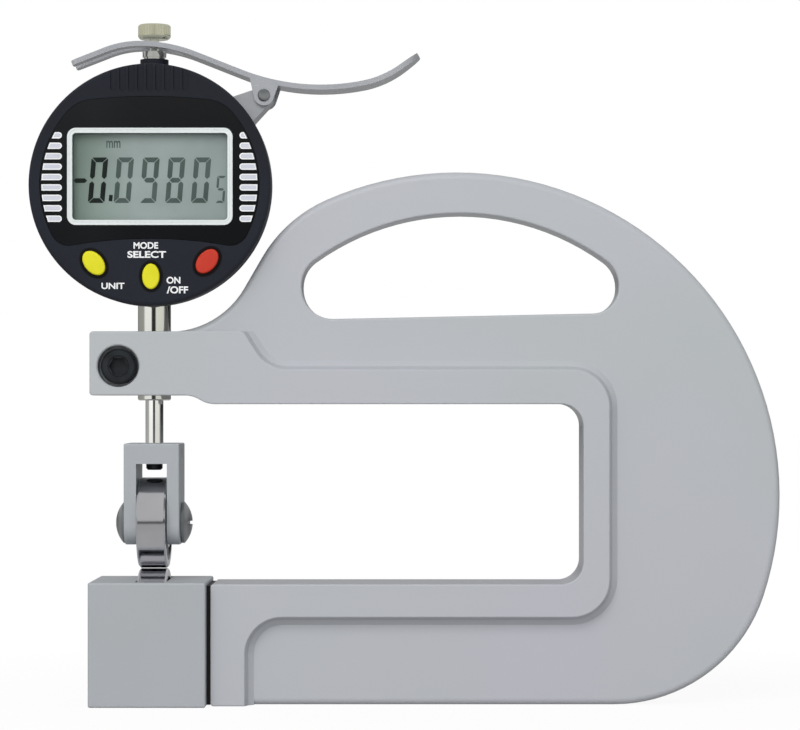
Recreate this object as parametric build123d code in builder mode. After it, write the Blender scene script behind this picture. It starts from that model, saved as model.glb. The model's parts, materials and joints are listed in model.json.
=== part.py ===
from build123d import *
import os
from math import asin, atan2, cos, degrees, hypot, radians, sin, sqrt, tan

os.makedirs("parts", exist_ok=True)

# Millimetres. X runs from the measuring axis towards the back of the throat, Y away from the viewer and
# Z up. The origin is on the base plane, right under the measuring axis. Each level is worked out from the
# one below it: base, rollers, clevis, arm, indicator, lever, knob.

# Clearances
run_gap = 0.03  # radial, a shaft that turns or slides in its bore
seat_gap = 0.01  # radial, a shaft or screw that is held in its bore
side_gap = 0.1  # between the flat sides of a moving piece and its neighbour
part_gap = 0.3  # between curved faces that never touch
cut_over = 1.0  # how far a cut runs out past the metal

# Proportions of small screws
slot_share = 0.3  # width of a slot, of the head's radius
slot_sink = 0.4  # depth of a slot, of the head's height
head_chamfer_share = 0.12  # chamfer of a socket head, of its radius
hex_lead = 0.35  # countersink round a hexagon socket
grub_hex_share = 0.5  # half the hexagon of a grub screw, of its radius

# Ball bearings used as rollers
bearing_r = 11.0
bearing_bore_r = 4.0
bearing_w = 7.0
inner_ring_r = 6.0
outer_ring_r = 9.1
ring_chamfer = 0.4
ball_r = 1.98
ball_circle_r = (inner_ring_r + outer_ring_r) / 2
ball_count = 7
cage_t = 0.9
cage_half = 2.45
shield_t = 0.4
shield_inset = 0.5
roller_gap = 0.12  # daylight between the two rollers at rest

# Clamp at the end of the upper arm, which holds the indicator's stem
stem_r = 4.0
slit_w = 1.2
clamp_wall = 1.3  # metal between the stem and the clamp screw
clamp_thread_r = 2.5
clamp_end = 6.9  # from the clamp screw to the end of the arm
clamp_rise = 7.0  # clamp screw above the underside of the arm
clamp_head_r = 4.25
clamp_head_h = 5.0
clamp_sunk = 0.4
clamp_bore_r = 5.0
clamp_bore_edge = 0.3
clamp_length = 19.0
hex_across = 4.0
hex_depth = 2.5
clamp_x = -(stem_r + clamp_wall + clamp_thread_r)
arm_reach = clamp_end - clamp_x

# Anvil block that carries the lower roller
throat_bottom = 29.3  # height of the lower arm
block_step = 0.6  # block above the lower arm
block_left = -arm_reach
block_right = 13.4
block_depth = 27.5
block_edge_r = 0.5
shim_t = 0.9
roller_stand = 2.7  # lower roller above the top of the block
slot_side = 0.25
slot_round = 0.6
axle_inset = 1.3
axle_bite = 3.4  # metal left beyond the blind end of the axle's bore
grub_inset = 5.7
grub_r = 2.0
grub_sunk = 0.6
block_screw_y = 6.5
block_screw_z = 6.0
block_screw_r = 2.0
block_head_r = 3.5
block_head_h = 4.0
block_head_sunk = 0.4
block_hex_across = 3.0
block_screw_bite = 7.5  # length of the screws inside the foot of the rim
block_top = throat_bottom + block_step
axle_left = block_left + axle_inset
axle_right = block_right - axle_bite
grub_x = block_left + grub_inset
frame_end = block_right + shim_t
lower_z = block_top + roller_stand - bearing_r
upper_z = lower_z + 2 * bearing_r + roller_gap

# Clevis on the spindle, which carries the upper roller
clevis_w = 13.4
clevis_depth = 16.0
clevis_drop = 5.2  # leg below the axle
clevis_rise = 19.3  # top above the axle
clevis_slot_w = 7.4
clevis_slot_rise = 14.4
clevis_leg_r = 4.5
clevis_edge_r = 0.4
spindle_floor = 1.5  # metal under the end of the spindle
pan_screw_r = 1.25
pan_head_r = 2.0
pan_head_h = 1.6
pan_head_edge = 0.4
pan_bite = 4.5
clevis_grub_r = 1.0
clevis_grub_drop = 2.3
dome_r = 5.0
dome_h = 2.4
dome_land = 0.5
dome_neck = 0.2
dome_neck_r = 4.3
dome_slot_w = 0.9
dome_slot_depth = 0.9
dome_slot_turn = 35.0
sleeve_short = 0.5
sleeve_thread_r = 2.0
sleeve_thread_length = 9.0
clevis_top = upper_z + clevis_rise
clevis_ceiling = upper_z + clevis_slot_rise
clevis_bottom = upper_z - clevis_drop
spindle_bottom = clevis_ceiling + spindle_floor

# Frame casting: upper arm and throat
travel = 10.0  # lift of the spindle
travel_end = 0.38  # daylight between clevis and stem at full lift
stem_below = 1.2  # stem below the arm
arm_h = 15.4
end_corner_r = 0.8  # corners at the end of the arm and at the foot of the rim
jog_drop = 2.1  # step from the underside of the arm down to the throat
jog_start = 8.2
jog_run = 7.2
throat_back = 103.8
throat_r = 5.3
rim_t = 20.0  # thickness of the raised rim round the throat, along Y
web_t = 13.0  # thickness of the rest of the casting
web_edge_r = 1.6  # rounded outer edge of the web
rim_edge_r = 0.35
stem_bottom = clevis_top + travel + travel_end
arm_bottom = stem_bottom + stem_below
arm_top = arm_bottom + arm_h
throat_top = arm_bottom - jog_drop
clamp_z = arm_bottom + clamp_rise

# Indicator case
bezel_r = 29.0
stem_show = 6.0  # stem in view between the arm and the bezel
dial_z = arm_top + stem_show + bezel_r
bezel_depth = 8.0
bezel_wall = 2.2
bezel_round = 1.0
bezel_ring = 3.2  # from the bezel's edge in to the cavity
shell_step = 2.5  # back shell inside the bezel's edge
shell_wall = 2.0
cover_t = 2.0
cover_edge_r = 0.5
stem_seat = 1.5  # stem inside the back shell
boss_root = 1.0  # start of the bosses inside the wall of the shell
stem_boss_r = 6.0
stem_boss_h = 2.0  # boss above the end of the stem
top_boss_r = 3.45
top_boss_rise = 2.2  # top boss above the bezel
groove_count = 9
groove_pitch = 2.15
groove_w = 1.55
groove_depth = 0.5
groove_reach = 6.7  # low end of the grooves, in from the bezel's edge
cavity_r = bezel_r - bezel_ring
shell_r = bezel_r - shell_step
groove_low = bezel_r - groove_reach
stem_top = dial_z - shell_r + stem_seat
boss_high = stem_top + stem_boss_h
top_boss_top = dial_z + bezel_r + top_boss_rise

# Frame casting: neck, shoulder, back and heel
neck_clear = 2.45  # daylight between the neck and the bezel
neck_slope = 60.0
neck_r = 21.0
neck_length = 8.5  # straight part of the neck
shoulder_r = 33.7
shoulder_lean = 23.8  # degrees left of the crown at which the shoulder meets the back
back_r = 78.0
heel_r = 38.0
rim_above = 8.3  # width of the rim above, behind and below the throat
rim_behind = 6.3
rim_below = 7.9
rim_foot = 8.2
rim_corner_r = 9.0
rim_step_after = 6.0  # from the foot of the neck to where the rim leaves the top of the arm
rim_step_slope = 58.0
rim_step_r = 2.0
rim_sweep_r = 9.0
rim_draft = 18.0  # slope of the wall between rim and web, in degrees
rim_toe_draft = 50.0  # flatter slope at its foot
rim_toe_h = 1.1

# Handle opening
grip_depth = 10.0  # metal above the opening at the crown
hole_shift = 0.8  # middle of the opening behind the middle of the back
hole_r = 60.0
hole_half = 38.2
floor_rise_left = 2.9  # floor of the opening above the arm
floor_rise_right = 4.5
hole_left_r = 7.5
hole_right_r = 6.3
hole_top_r = 7.5
hole_edge_r = 0.5

# Spindle and what rides on it
spindle_r = 2.175
spindle_below = 10.0  # end of the spindle below the middle of the dial
stem_bore_r = 3.0
stem_edge = 0.3
bush_length = 9.0
lift_rod_r = 1.15
lift_rod_bite = 4.0
rod_show = 3.0  # lift rod between the collar and the knob
rod_short = 0.5  # lift rod below the top of the knob
knob_h = 3.6
knob_r = 3.95
knob_edge = 0.35
knob_round = 1.0  # rounded underside
knurl_count = 36
knurl_r = 0.2
collar_h = 1.3
collar_r = 2.9
collar_neck_r = 2.6
collar_neck_h = 0.6
top_bush_r = 2.25
top_bush_length = 6.7  # inside the top boss
spring_r = 1.75
spring_wire_r = 0.2
spring_turns = 8
carrier_w = 8.0
carrier_front = 3.2
carrier_back = 2.9
carrier_gap = 2.0  # above the stem's boss
carrier_h = 8.0
scale_t = 0.8
scale_gap = 0.5  # above the stem's boss
scale_length = 34.0
guide_pin_r = 0.8
guide_pin_reach = 8.6
rail_x = 5.0
rail_w = 4.0
rail_depth = 5.0
rail_over = 4.0  # rail beyond the pin at full lift
slot_floor = 1.0
spindle_top = dial_z - spindle_below
top_bush_bottom = top_boss_top - top_bush_length
collar_bottom = top_boss_top + collar_neck_h
collar_top = collar_bottom + collar_h
knob_bottom = collar_top + rod_show
carrier_bottom = boss_high + carrier_gap
scale_bottom = boss_high + scale_gap
pin_z = carrier_bottom + carrier_h / 2

# Sensor board that reads the scale
sensor_w = 16.0
sensor_t = 1.0
sensor_gap = 0.4
sensor_drop = 15.0  # lower end below the middle of the dial
sensor_h = 28.0
sensor_leg = 2.0
sensor_stand = 1.6  # length of its legs
sensor_front = -carrier_front - scale_t - sensor_gap - sensor_t
sensor_bottom = dial_z - sensor_drop

# Layers of the case, from the circuit board forward to the bezel
board_t = 1.2
board_margin = 1.6
board_gap = 1.0  # room for the contact strips between the panel and the board
panel_t = 1.6
board_back = sensor_front - sensor_stand
board_front = board_back - board_t
panel_back = board_front - board_gap
wall_back = panel_back - panel_t
bezel_front = wall_back - bezel_wall
bezel_back = bezel_front + bezel_depth
board_r = cavity_r - board_margin

# Face plate and display
plate_margin = 2.8
plate_flat = 5.2  # cut off the top of the plate's circle
plate_high_r = 130.0  # slight arch of its upper edge
plate_bay = 13.3  # depth of the hollow in its lower edge
plate_low_r = 107.0
plate_t = 1.2
plate_top_corner = 9.0
plate_low_corner = 4.5
display_x = 0.1
display_side = 7.65  # from the display to the plate's edge at the sides, at the top and below
display_over = 8.7
display_under = 4.4
surround_w = 1.2
surround_r = 2.1
surround_proud = 0.1
surround_line_w = 0.3  # fine groove along the middle of the surround
surround_line_depth = 0.15
lens_t = 0.8
lens_sunk = 0.2
panel_margin = 0.6
strip_w = 1.5
strip_length = 34.0
plate_r = bezel_r - plate_margin
plate_top = plate_r - plate_flat
plate_low = plate_r - plate_bay
plate_back = bezel_front + plate_t
display_w = 2 * (plate_r - display_side)
display_h = plate_top - display_over + plate_low - display_under
display_z = (plate_top - display_over - plate_low + display_under) / 2

# Buttons: distance in from the bezel's edge, turn from straight down, half axes, lean of the long axis
button_forms = {
    "button_left": (6.0, -35.1, 3.3, 2.25, -50.0),
    "button_middle": (7.0, 1.0, 2.08, 3.05, 0.0),
    "button_right": (6.0, 36.9, 3.3, 2.25, 50.0),
}
button_proud = 0.9
button_travel = 0.8
button_rim = 0.4  # dark gap round each button
flange_lip = 0.35
flange_t = 0.5
pad_t = 0.8
pad_margin = 0.2
pad_w = 7.0
pad_half_angle = 52.0
dome_pad_r = 1.5
pad_outer_r = board_r - pad_margin
pad_inner_r = pad_outer_r - pad_w
buttons = {
    name: (
        (bezel_r - inset) * sin(radians(turn)),
        -(bezel_r - inset) * cos(radians(turn)),
        half_long,
        half_short,
        lean,
    )
    for name, (inset, turn, half_long, half_short, lean) in button_forms.items()
}

# Posts and screws that hold the case together
post_angles = (48.1, 131.9, -15.3, 195.3)
post_r = 2.4
post_margin = 0.6  # between the posts and the wall of the cavity
post_pin_r = 1.8
case_screw_r = 1.0
case_head_r = 1.9
case_head_h = 1.2
case_head_bore = 2.1
case_screw_bite = 2.5
post_circle = cavity_r - post_margin - post_r
post_places = [(post_circle * cos(radians(a)), post_circle * sin(radians(a))) for a in post_angles]

# Battery under the back cover
battery_r = 10.0
battery_t = 3.2
battery_room = 0.6  # between the battery and the back cover
carrier_room = 0.5  # between the scale's carrier and the battery holder
holder_gap = 0.3
holder_wall = 1.0
holder_floor = 0.6
holder_flange = 2.0  # flange outside the door
holder_flange_t = 0.8
contact_t = 0.2
contact_w = 2.0
door_margin = 1.0  # door outside the battery
door_boss_inset = 0.5
coin_slot_w = 1.5
coin_slot_length = 12.0
coin_slot_depth = 0.8
battery_front = carrier_back + carrier_room + holder_floor + contact_t
shell_back = battery_front + battery_t + battery_room
door_r = battery_r + door_margin
door_boss_r = battery_r - door_boss_inset
holder_flange_r = door_r + holder_flange

# Lifting lever and its bracket
lever_t = 1.2
lever_w = 12.0
lever_gap = 0.85  # between the collar and the lever
pivot_x = 26.95
pivot_drop = 13.11  # pivot below the top of the lever
fork_w = 4.0
fork_end = 7.7
peak_x = -3.14
tail_slope = 21.3
tail_length = 8.8
hump_left_r = 23.0
hump_right_r = 37.6
slope = 21.5
slope_length = 11.8
dip_r = 52.0
dip_rise = 11.1
tip_r = 23.2
tip_slope = 36.0
tip_length = 5.0
tip_round = 5.0
tine_round = 1.5
ear_r = 2.45
ear_half = 3.6  # half the length of the ears' roots along the lever
pivot_pin_r = 1.0
pivot_head_r = 1.5
pivot_head_h = 0.6
pivot_head_round = 0.5
bracket_turn = 2.5  # degrees that the bracket's seat lies above the line from dial to pivot
bracket_sink = 1.3  # bracket's seat in from the outside of the shell
foot_t = 1.8
foot_half = 7.8
foot_edge = 1.0  # foot short of the back cover
seat_depth = 3.7
tongue_half = 4.6
tongue_end_r = 2.2
bracket_screw_r = 1.0
bracket_head_r = 1.5
bracket_head_h = 0.9
bracket_screw_v = 6.3
bracket_screw_y = 1.5
bracket_screw_bite = 3.0
peak_z = collar_top + lever_gap + lever_t
pivot_z = peak_z - pivot_drop
pivot_reach = hypot(pivot_x, pivot_z - dial_z)
pivot_along = pivot_reach * cos(radians(bracket_turn))
pivot_aside = -pivot_reach * sin(radians(bracket_turn))
seat_angle = degrees(atan2(pivot_z - dial_z, pivot_x)) + bracket_turn
ear_outer = lever_w / 2
ear_inner = ear_outer - lever_t
bracket_flat = shell_r - bracket_sink
foot_front = side_gap - ear_inner
foot_back = shell_back - foot_edge


def across(y):
    """Plane parallel to the front of the gauge at depth y, seen from the viewer."""
    return Plane.XZ.offset(-y)


def on_dial(y, turn=0.0):
    """Plane across the dial's axis at depth y, centred on the dial, its x turned up by so many degrees."""
    toward = (cos(radians(turn)), 0, sin(radians(turn)))
    return Plane(origin=(0, y, dial_z), x_dir=toward, z_dir=(0, -1, 0))


def along_x(x, z):
    """Plane across an axis that runs along X at height z."""
    return Plane(origin=(x, 0, z), x_dir=(0, 1, 0), z_dir=(1, 0, 0))


def turned(plane, steps, bores=()):
    """Round piece: steps and bores are (radius, from, to) along the plane's normal."""
    with BuildPart() as piece:
        for radius, low, high in steps:
            with BuildSketch(plane.offset(low)):
                Circle(radius)
            extrude(amount=high - low)
        for radius, low, high in bores:
            with BuildSketch(plane.offset(low)):
                Circle(radius)
            extrude(amount=high - low, mode=Mode.SUBTRACT)
    return piece.part


def socket_screw(plane, thread_r, length, head_r, head_h, across_flats, depth):
    """Socket head cap screw: the plane is under its head, with the normal towards the head."""
    with BuildPart() as screw:
        add(turned(plane, [(head_r, 0, head_h)]))
        rim_edge = screw.edges().filter_by(GeomType.CIRCLE).sort_by_distance(plane.offset(head_h).origin)[0]
        chamfer(rim_edge, head_r * head_chamfer_share)
        add(turned(plane, [(thread_r, -length, 0)]))
        with BuildSketch(plane.offset(head_h)):
            RegularPolygon(across_flats / 2, 6, major_radius=False)
        extrude(amount=-depth, mode=Mode.SUBTRACT)
        with BuildSketch(plane.offset(head_h)):
            Circle(across_flats / 2 / cos(radians(30)) + hex_lead)
        extrude(amount=-hex_lead, taper=45, mode=Mode.SUBTRACT)
    return screw.part


def slotted_screw(plane, thread_r, length, head_r, head_h):
    """Cheese head screw: the plane is under its head, with the normal towards the head."""
    with BuildPart() as screw:
        add(turned(plane, [(thread_r, -length, 0), (head_r, 0, head_h)]))
        with BuildSketch(plane.offset(head_h)):
            Rectangle(2 * head_r + cut_over, head_r * slot_share)
        extrude(amount=-head_h * slot_sink, mode=Mode.SUBTRACT)
    return screw.part


def publish(part, name):
    """Names a finished piece and writes it to its own file."""
    part.label = name
    export_step(part, "parts/" + name + ".step")


# Frame outline: arm, neck, shoulder, back and heel, then the throat. The neck's line clears the bezel, and
# each arc leaves the one before it at a tangent.
neck_out = bezel_r + neck_clear + (arm_top - dial_z) * cos(radians(neck_slope))
neck_foot_x = neck_out / sin(radians(neck_slope))
neck_start_x = neck_foot_x - neck_r * tan(radians(neck_slope / 2))
neck_run = neck_r * tan(radians(neck_slope / 2)) + neck_length
shoulder_x = neck_foot_x + neck_run * cos(radians(neck_slope)) + shoulder_r * sin(radians(neck_slope))
shoulder_z = arm_top + neck_run * sin(radians(neck_slope)) - shoulder_r * cos(radians(neck_slope))
back_x = shoulder_x + (back_r - shoulder_r) * sin(radians(shoulder_lean))
back_z = shoulder_z - (back_r - shoulder_r) * cos(radians(shoulder_lean))
heel_turn = 90 + degrees(asin((back_z - heel_r) / (back_r - heel_r)))
jog_turn = degrees(2 * atan2(jog_drop, jog_run))
jog_r = jog_run / 2 / sin(radians(jog_turn))

with BuildSketch(Plane.XZ) as outline:
    with BuildLine():
        top = Line((-arm_reach, arm_top), (neck_start_x, arm_top))
        neck = JernArc(top @ 1, top % 1, neck_r, neck_slope)
        rise = PolarLine(neck @ 1, neck_length, neck_slope)
        shoulder = JernArc(rise @ 1, rise % 1, shoulder_r, shoulder_lean - neck_slope)
        back = JernArc(shoulder @ 1, shoulder % 1, back_r, -shoulder_lean - heel_turn)
        heel = JernArc(back @ 1, back % 1, heel_r, heel_turn - 180)
        sole = Line(heel @ 1, (frame_end, 0))
        end = Line(sole @ 1, (frame_end, throat_bottom))
        low = Line(end @ 1, (throat_back - throat_r, throat_bottom))
        low_corner = JernArc(low @ 1, low % 1, throat_r, 90)
        rear = Line(low_corner @ 1, (throat_back, throat_top - throat_r))
        high_corner = JernArc(rear @ 1, rear % 1, throat_r, 90)
        ceiling = Line(high_corner @ 1, (jog_start + jog_run, throat_top))
        jog_low = JernArc(ceiling @ 1, ceiling % 1, jog_r, -jog_turn)
        jog_high = JernArc(jog_low @ 1, jog_low % 1, jog_r, jog_turn)
        under = Line(jog_high @ 1, (-arm_reach, arm_bottom))
        Line(under @ 1, top @ 0)
    make_face()

# The same outline with rounded corners at the end of the arm and at the foot of the rim
with BuildSketch(Plane.XZ) as soft_outline:
    add(outline.sketch)
    for corner in (
        (-arm_reach, arm_top),
        (-arm_reach, arm_bottom),
        (frame_end, throat_bottom),
        (frame_end, 0),
    ):
        fillet(soft_outline.vertices().sort_by_distance(corner)[0], end_corner_r)

# Handle opening: a crown arc over a floor that rises slightly to the back
hole_x = back_x + hole_shift
hole_floor_left = arm_top + floor_rise_left
hole_floor_right = arm_top + floor_rise_right
hole_z = back_z + back_r - grip_depth - hole_r
hole_side_z = hole_z + sqrt(hole_r**2 - hole_half**2)

with BuildSketch(Plane.XZ) as handle_hole:
    with BuildLine():
        floor = Line((hole_x - hole_half, hole_floor_left), (hole_x + hole_half, hole_floor_right))
        right = Line(floor @ 1, (hole_x + hole_half, hole_side_z))
        crown = ThreePointArc(right @ 1, (hole_x, hole_z + hole_r), (hole_x - hole_half, hole_side_z))
        Line(crown @ 1, floor @ 0)
    make_face()
    fillet(handle_hole.vertices().sort_by(Axis.X)[:2].sort_by(Axis.Y)[:1], hole_left_r)
    fillet(handle_hole.vertices().sort_by(Axis.X)[-2:].sort_by(Axis.Y)[:1], hole_right_r)
    fillet(handle_hole.vertices().sort_by(Axis.Y)[-2:], hole_top_r)

# Raised rim round the throat, with a sloping wall down to the web
rim_top = throat_top + rim_above
rim_step_run = (arm_top - rim_top) / tan(radians(rim_step_slope))
rim_step_x = neck_foot_x + rim_step_after
beyond = 2 * rim_corner_r  # corners that lie outside the casting
rim_corners = [
    (-arm_reach - beyond, arm_top),
    (rim_step_x, arm_top),
    (rim_step_x + rim_step_run, rim_top),
    (throat_back + rim_behind, rim_top),
    (throat_back + rim_behind, throat_bottom - rim_below),
    (frame_end + rim_foot, throat_bottom - rim_below),
    (frame_end + rim_foot, -beyond),
    (-arm_reach - beyond, -beyond),
]
rim_radii = [rim_step_r, rim_sweep_r, rim_corner_r, rim_corner_r, rim_corner_r]

with BuildPart() as rim:
    with BuildSketch(across(-rim_t / 2)) as rim_face:
        with BuildLine():
            Polyline(*rim_corners, close=True)
        make_face()
        for (x, z), radius in zip(rim_corners[1:6], rim_radii):
            fillet(rim_face.vertices().sort_by_distance((x, z))[0], radius)
    extrude(amount=rim_toe_h - (rim_t - web_t) / 2, taper=-rim_draft)
    extrude(rim.faces().sort_by(Axis.Y)[-1], amount=rim_toe_h, taper=-rim_toe_draft)
    extrude(rim.faces().sort_by(Axis.Y)[-1], amount=web_t / 2)
    mirror(about=Plane.XZ)
    rim_faces = rim.faces().filter_by(Axis.Y).group_by(Axis.Y)
    fillet(rim_faces[0].edges() + rim_faces[-1].edges(), rim_edge_r)
    split(bisect_by=Plane.XY.offset(arm_top), keep=Keep.BOTTOM)

with BuildPart() as thick_outline:
    extrude(soft_outline.sketch, amount=rim_t / 2, both=True)
    fillet(thick_outline.faces().filter_by(Axis.Y).edges(), rim_edge_r)

with BuildPart() as frame:
    extrude(outline.sketch, amount=web_t / 2, both=True)
    fillet(frame.faces().filter_by(Axis.Y).edges(), web_edge_r)
    extrude(handle_hole.sketch, amount=web_t, both=True, mode=Mode.SUBTRACT)
    hole_wires = [wire for face in frame.faces().filter_by(Axis.Y) for wire in face.inner_wires()]
    fillet([edge for wire in hole_wires for edge in wire.edges()], hole_edge_r)
    add(thick_outline.part, mode=Mode.INTERSECT)
    add(rim.part & thick_outline.part)
    # Bore for the stem, split to the end of the arm, and the screw that closes it
    with BuildSketch(Plane.XY.offset(arm_bottom - cut_over)):
        Circle(stem_r + seat_gap)
        with Locations((-arm_reach, 0)):
            Rectangle(2 * arm_reach, slit_w)
    extrude(amount=arm_h + 2 * cut_over, mode=Mode.SUBTRACT)
    with BuildSketch(across(rim_t / 2)):
        with Locations((clamp_x, clamp_z)):
            Circle(clamp_thread_r + run_gap)
    extrude(amount=rim_t, mode=Mode.SUBTRACT)
    with BuildSketch(across(clamp_sunk + clamp_head_h - rim_t / 2)):
        with Locations((clamp_x, clamp_z)):
            Circle(clamp_bore_r)
    extrude(amount=rim_t / 2, mode=Mode.SUBTRACT)
    with BuildSketch(across(-rim_t / 2)):
        with Locations((clamp_x, clamp_z)):
            Circle(clamp_bore_r + clamp_bore_edge)
    extrude(amount=-clamp_bore_edge, taper=45, mode=Mode.SUBTRACT)
    # Threaded holes for the screws of the anvil block
    with BuildSketch(Plane.YZ.offset(frame_end)):
        with Locations((-block_screw_y, block_screw_z), (block_screw_y, block_screw_z)):
            Circle(block_screw_r + seat_gap)
    extrude(amount=block_screw_bite + side_gap, mode=Mode.SUBTRACT)
publish(frame.part, "frame")

with BuildPart() as clamp_screw:
    under_head = Plane(
        origin=(clamp_x, clamp_sunk + clamp_head_h - rim_t / 2, clamp_z),
        x_dir=(1, 0, 0),
        z_dir=(0, -1, 0),
    )
    shank = clamp_length - clamp_sunk - clamp_head_h
    add(
        socket_screw(
            under_head, clamp_thread_r, shank, clamp_head_r, clamp_head_h, hex_across, hex_depth
        )
    )
publish(clamp_screw.part, "clamp_screw")

# Anvil block, shim and screws
with BuildPart() as anvil_block:
    with BuildSketch(across(block_depth / 2)):
        with Locations(((block_left + block_right) / 2, block_top / 2)):
            Rectangle(block_right - block_left, block_top)
    extrude(amount=block_depth)
    fillet(anvil_block.edges(), block_edge_r)
    # Slot for the roller, straight down to its axle and round below
    with BuildSketch(Plane.YZ.offset(-bearing_w / 2 - slot_side)):
        with Locations((0, lower_z)):
            Circle(bearing_r + slot_round)
        with Locations((0, lower_z + bearing_r)):
            Rectangle(2 * (bearing_r + slot_round), 2 * bearing_r)
    extrude(amount=bearing_w + 2 * slot_side, mode=Mode.SUBTRACT)
    # Bore for the axle, the grub screw that holds it, and the two long screws
    with BuildSketch(along_x(axle_right + side_gap, lower_z)):
        Circle(bearing_bore_r + seat_gap)
    extrude(amount=-(axle_right + side_gap - block_left), mode=Mode.SUBTRACT)
    with BuildSketch(Plane.XY):
        with Locations((grub_x, 0)):
            Circle(grub_r + seat_gap)
    extrude(amount=lower_z, mode=Mode.SUBTRACT)
    for side in (-1, 1):
        with BuildSketch(Plane.YZ.offset(block_left)):
            with Locations((side * block_screw_y, block_screw_z)):
                Circle(block_screw_r + run_gap)
        extrude(amount=block_right - block_left, mode=Mode.SUBTRACT)
        with BuildSketch(Plane.YZ.offset(block_left)):
            with Locations((side * block_screw_y, block_screw_z)):
                Circle(block_head_r + part_gap)
        extrude(amount=block_head_sunk + block_head_h, mode=Mode.SUBTRACT)
publish(anvil_block.part, "anvil_block")

with BuildPart() as anvil_shim:
    with BuildSketch(Plane.YZ.offset(block_right)):
        with Locations((0, throat_bottom / 2)):
            Rectangle(rim_t - 2 * rim_edge_r, throat_bottom - 2 * rim_edge_r)
        with Locations((-block_screw_y, block_screw_z), (block_screw_y, block_screw_z)):
            Circle(block_screw_r + run_gap, mode=Mode.SUBTRACT)
    extrude(amount=shim_t)
publish(anvil_shim.part, "anvil_shim")

with BuildPart() as anvil_block_screws:
    head_seat = block_left + block_head_sunk + block_head_h
    for side in (-1, 1):
        seat = Plane(
            origin=(head_seat, side * block_screw_y, block_screw_z), x_dir=(0, 0, 1), z_dir=(-1, 0, 0)
        )
        length = frame_end + block_screw_bite - head_seat
        add(
            socket_screw(
                seat, block_screw_r, length, block_head_r, block_head_h, block_hex_across, hex_depth
            )
        )
publish(anvil_block_screws.part, "anvil_block_screws")

with BuildPart() as lower_axle:
    add(turned(along_x(0, lower_z), [(bearing_bore_r, axle_left, axle_right)]))
    chamfer(lower_axle.edges(), ring_chamfer)
publish(lower_axle.part, "lower_axle")

with BuildPart() as lower_axle_grub:
    grub_top = lower_z - bearing_bore_r
    with BuildSketch(Plane.XY.offset(grub_sunk)):
        with Locations((grub_x, 0)):
            Circle(grub_r)
    extrude(amount=grub_top - grub_sunk)
    with BuildSketch(Plane.XY.offset(grub_sunk)):
        with Locations((grub_x, 0)):
            RegularPolygon(grub_r * grub_hex_share, 6, major_radius=False)
    extrude(amount=hex_depth, mode=Mode.SUBTRACT)
publish(lower_axle_grub.part, "lower_axle_grub")


def bearing(height, name):
    """The five pieces of a shielded ball bearing whose axis runs along X at this height."""
    centre = along_x(0, height)
    half = bearing_w / 2
    axis = Axis((0, 0, height), (1, 0, 0))
    groove_r = ball_r + run_gap

    with BuildPart() as inner:
        add(turned(centre, [(inner_ring_r, -half, half)], [(bearing_bore_r + seat_gap, -half, half)]))
        with BuildSketch(Plane.XZ):
            with Locations((0, height + ball_circle_r)):
                Circle(groove_r)
        revolve(axis=axis, mode=Mode.SUBTRACT)
    publish(inner.part, name + "_inner_ring")

    with BuildPart() as outer:
        add(turned(centre, [(bearing_r, -half, half)]))
        chamfer(outer.edges(), ring_chamfer)
        with BuildSketch(centre.offset(-half)):
            Circle(outer_ring_r)
        extrude(amount=bearing_w, mode=Mode.SUBTRACT)
        with BuildSketch(Plane.XZ):
            with Locations((0, height + ball_circle_r)):
                Circle(groove_r)
        revolve(axis=axis, mode=Mode.SUBTRACT)
    publish(outer.part, name + "_outer_ring")

    with BuildPart() as shields:
        for start in (shield_inset - half, half - shield_inset - shield_t):
            with BuildSketch(centre.offset(start)):
                Circle(outer_ring_r - seat_gap)
                Circle(inner_ring_r + part_gap, mode=Mode.SUBTRACT)
            extrude(amount=shield_t)
    publish(shields.part, name + "_shields")

    ball_angles = [360 / ball_count * i for i in range(ball_count)]
    ball_places = [
        (0, ball_circle_r * cos(radians(a)), height + ball_circle_r * sin(radians(a)))
        for a in ball_angles
    ]
    with BuildPart() as balls:
        with Locations(*ball_places):
            Sphere(ball_r)
    publish(balls.part, name + "_balls")

    with BuildPart() as cage:
        with BuildSketch(centre.offset(-cage_half)):
            Circle(ball_circle_r + cage_t / 2)
            Circle(ball_circle_r - cage_t / 2, mode=Mode.SUBTRACT)
        extrude(amount=2 * cage_half)
        with Locations(*ball_places):
            Sphere(ball_r + run_gap, mode=Mode.SUBTRACT)
    publish(cage.part, name + "_cage")


bearing(lower_z, "lower_bearing")
bearing(upper_z, "upper_bearing")

# Clevis
with BuildPart() as clevis:
    with BuildSketch(Plane.YZ.offset(-clevis_w / 2)) as side_view:
        with Locations((0, (clevis_top + clevis_bottom) / 2)):
            Rectangle(clevis_depth, clevis_top - clevis_bottom)
        fillet(side_view.vertices().group_by(Axis.Y)[0], clevis_leg_r)
    extrude(amount=clevis_w)
    fillet(clevis.edges().filter_by(Axis.Z) + clevis.faces().sort_by(Axis.Z)[-1].edges(), clevis_edge_r)
    with BuildSketch(across(clevis_depth / 2)):
        with Locations((0, (clevis_ceiling + clevis_bottom) / 2)):
            Rectangle(clevis_slot_w, clevis_ceiling - clevis_bottom)
    extrude(amount=clevis_depth, mode=Mode.SUBTRACT)
    with BuildSketch(along_x(-clevis_w / 2, upper_z)):
        Circle(bearing_bore_r + seat_gap)
    extrude(amount=clevis_w, mode=Mode.SUBTRACT)
    with BuildSketch(Plane.XY.offset(spindle_bottom)):
        Circle(spindle_r + seat_gap)
    extrude(amount=clevis_top - spindle_bottom, mode=Mode.SUBTRACT)
    with BuildSketch(Plane.XY.offset(clevis_ceiling)):
        Circle(pan_screw_r + run_gap)
    extrude(amount=spindle_floor, mode=Mode.SUBTRACT)
    with BuildSketch(along_x(0, clevis_top - clevis_grub_drop)):
        Circle(clevis_grub_r + seat_gap)
    extrude(amount=clevis_w / 2, mode=Mode.SUBTRACT)
publish(clevis.part, "clevis")

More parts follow.
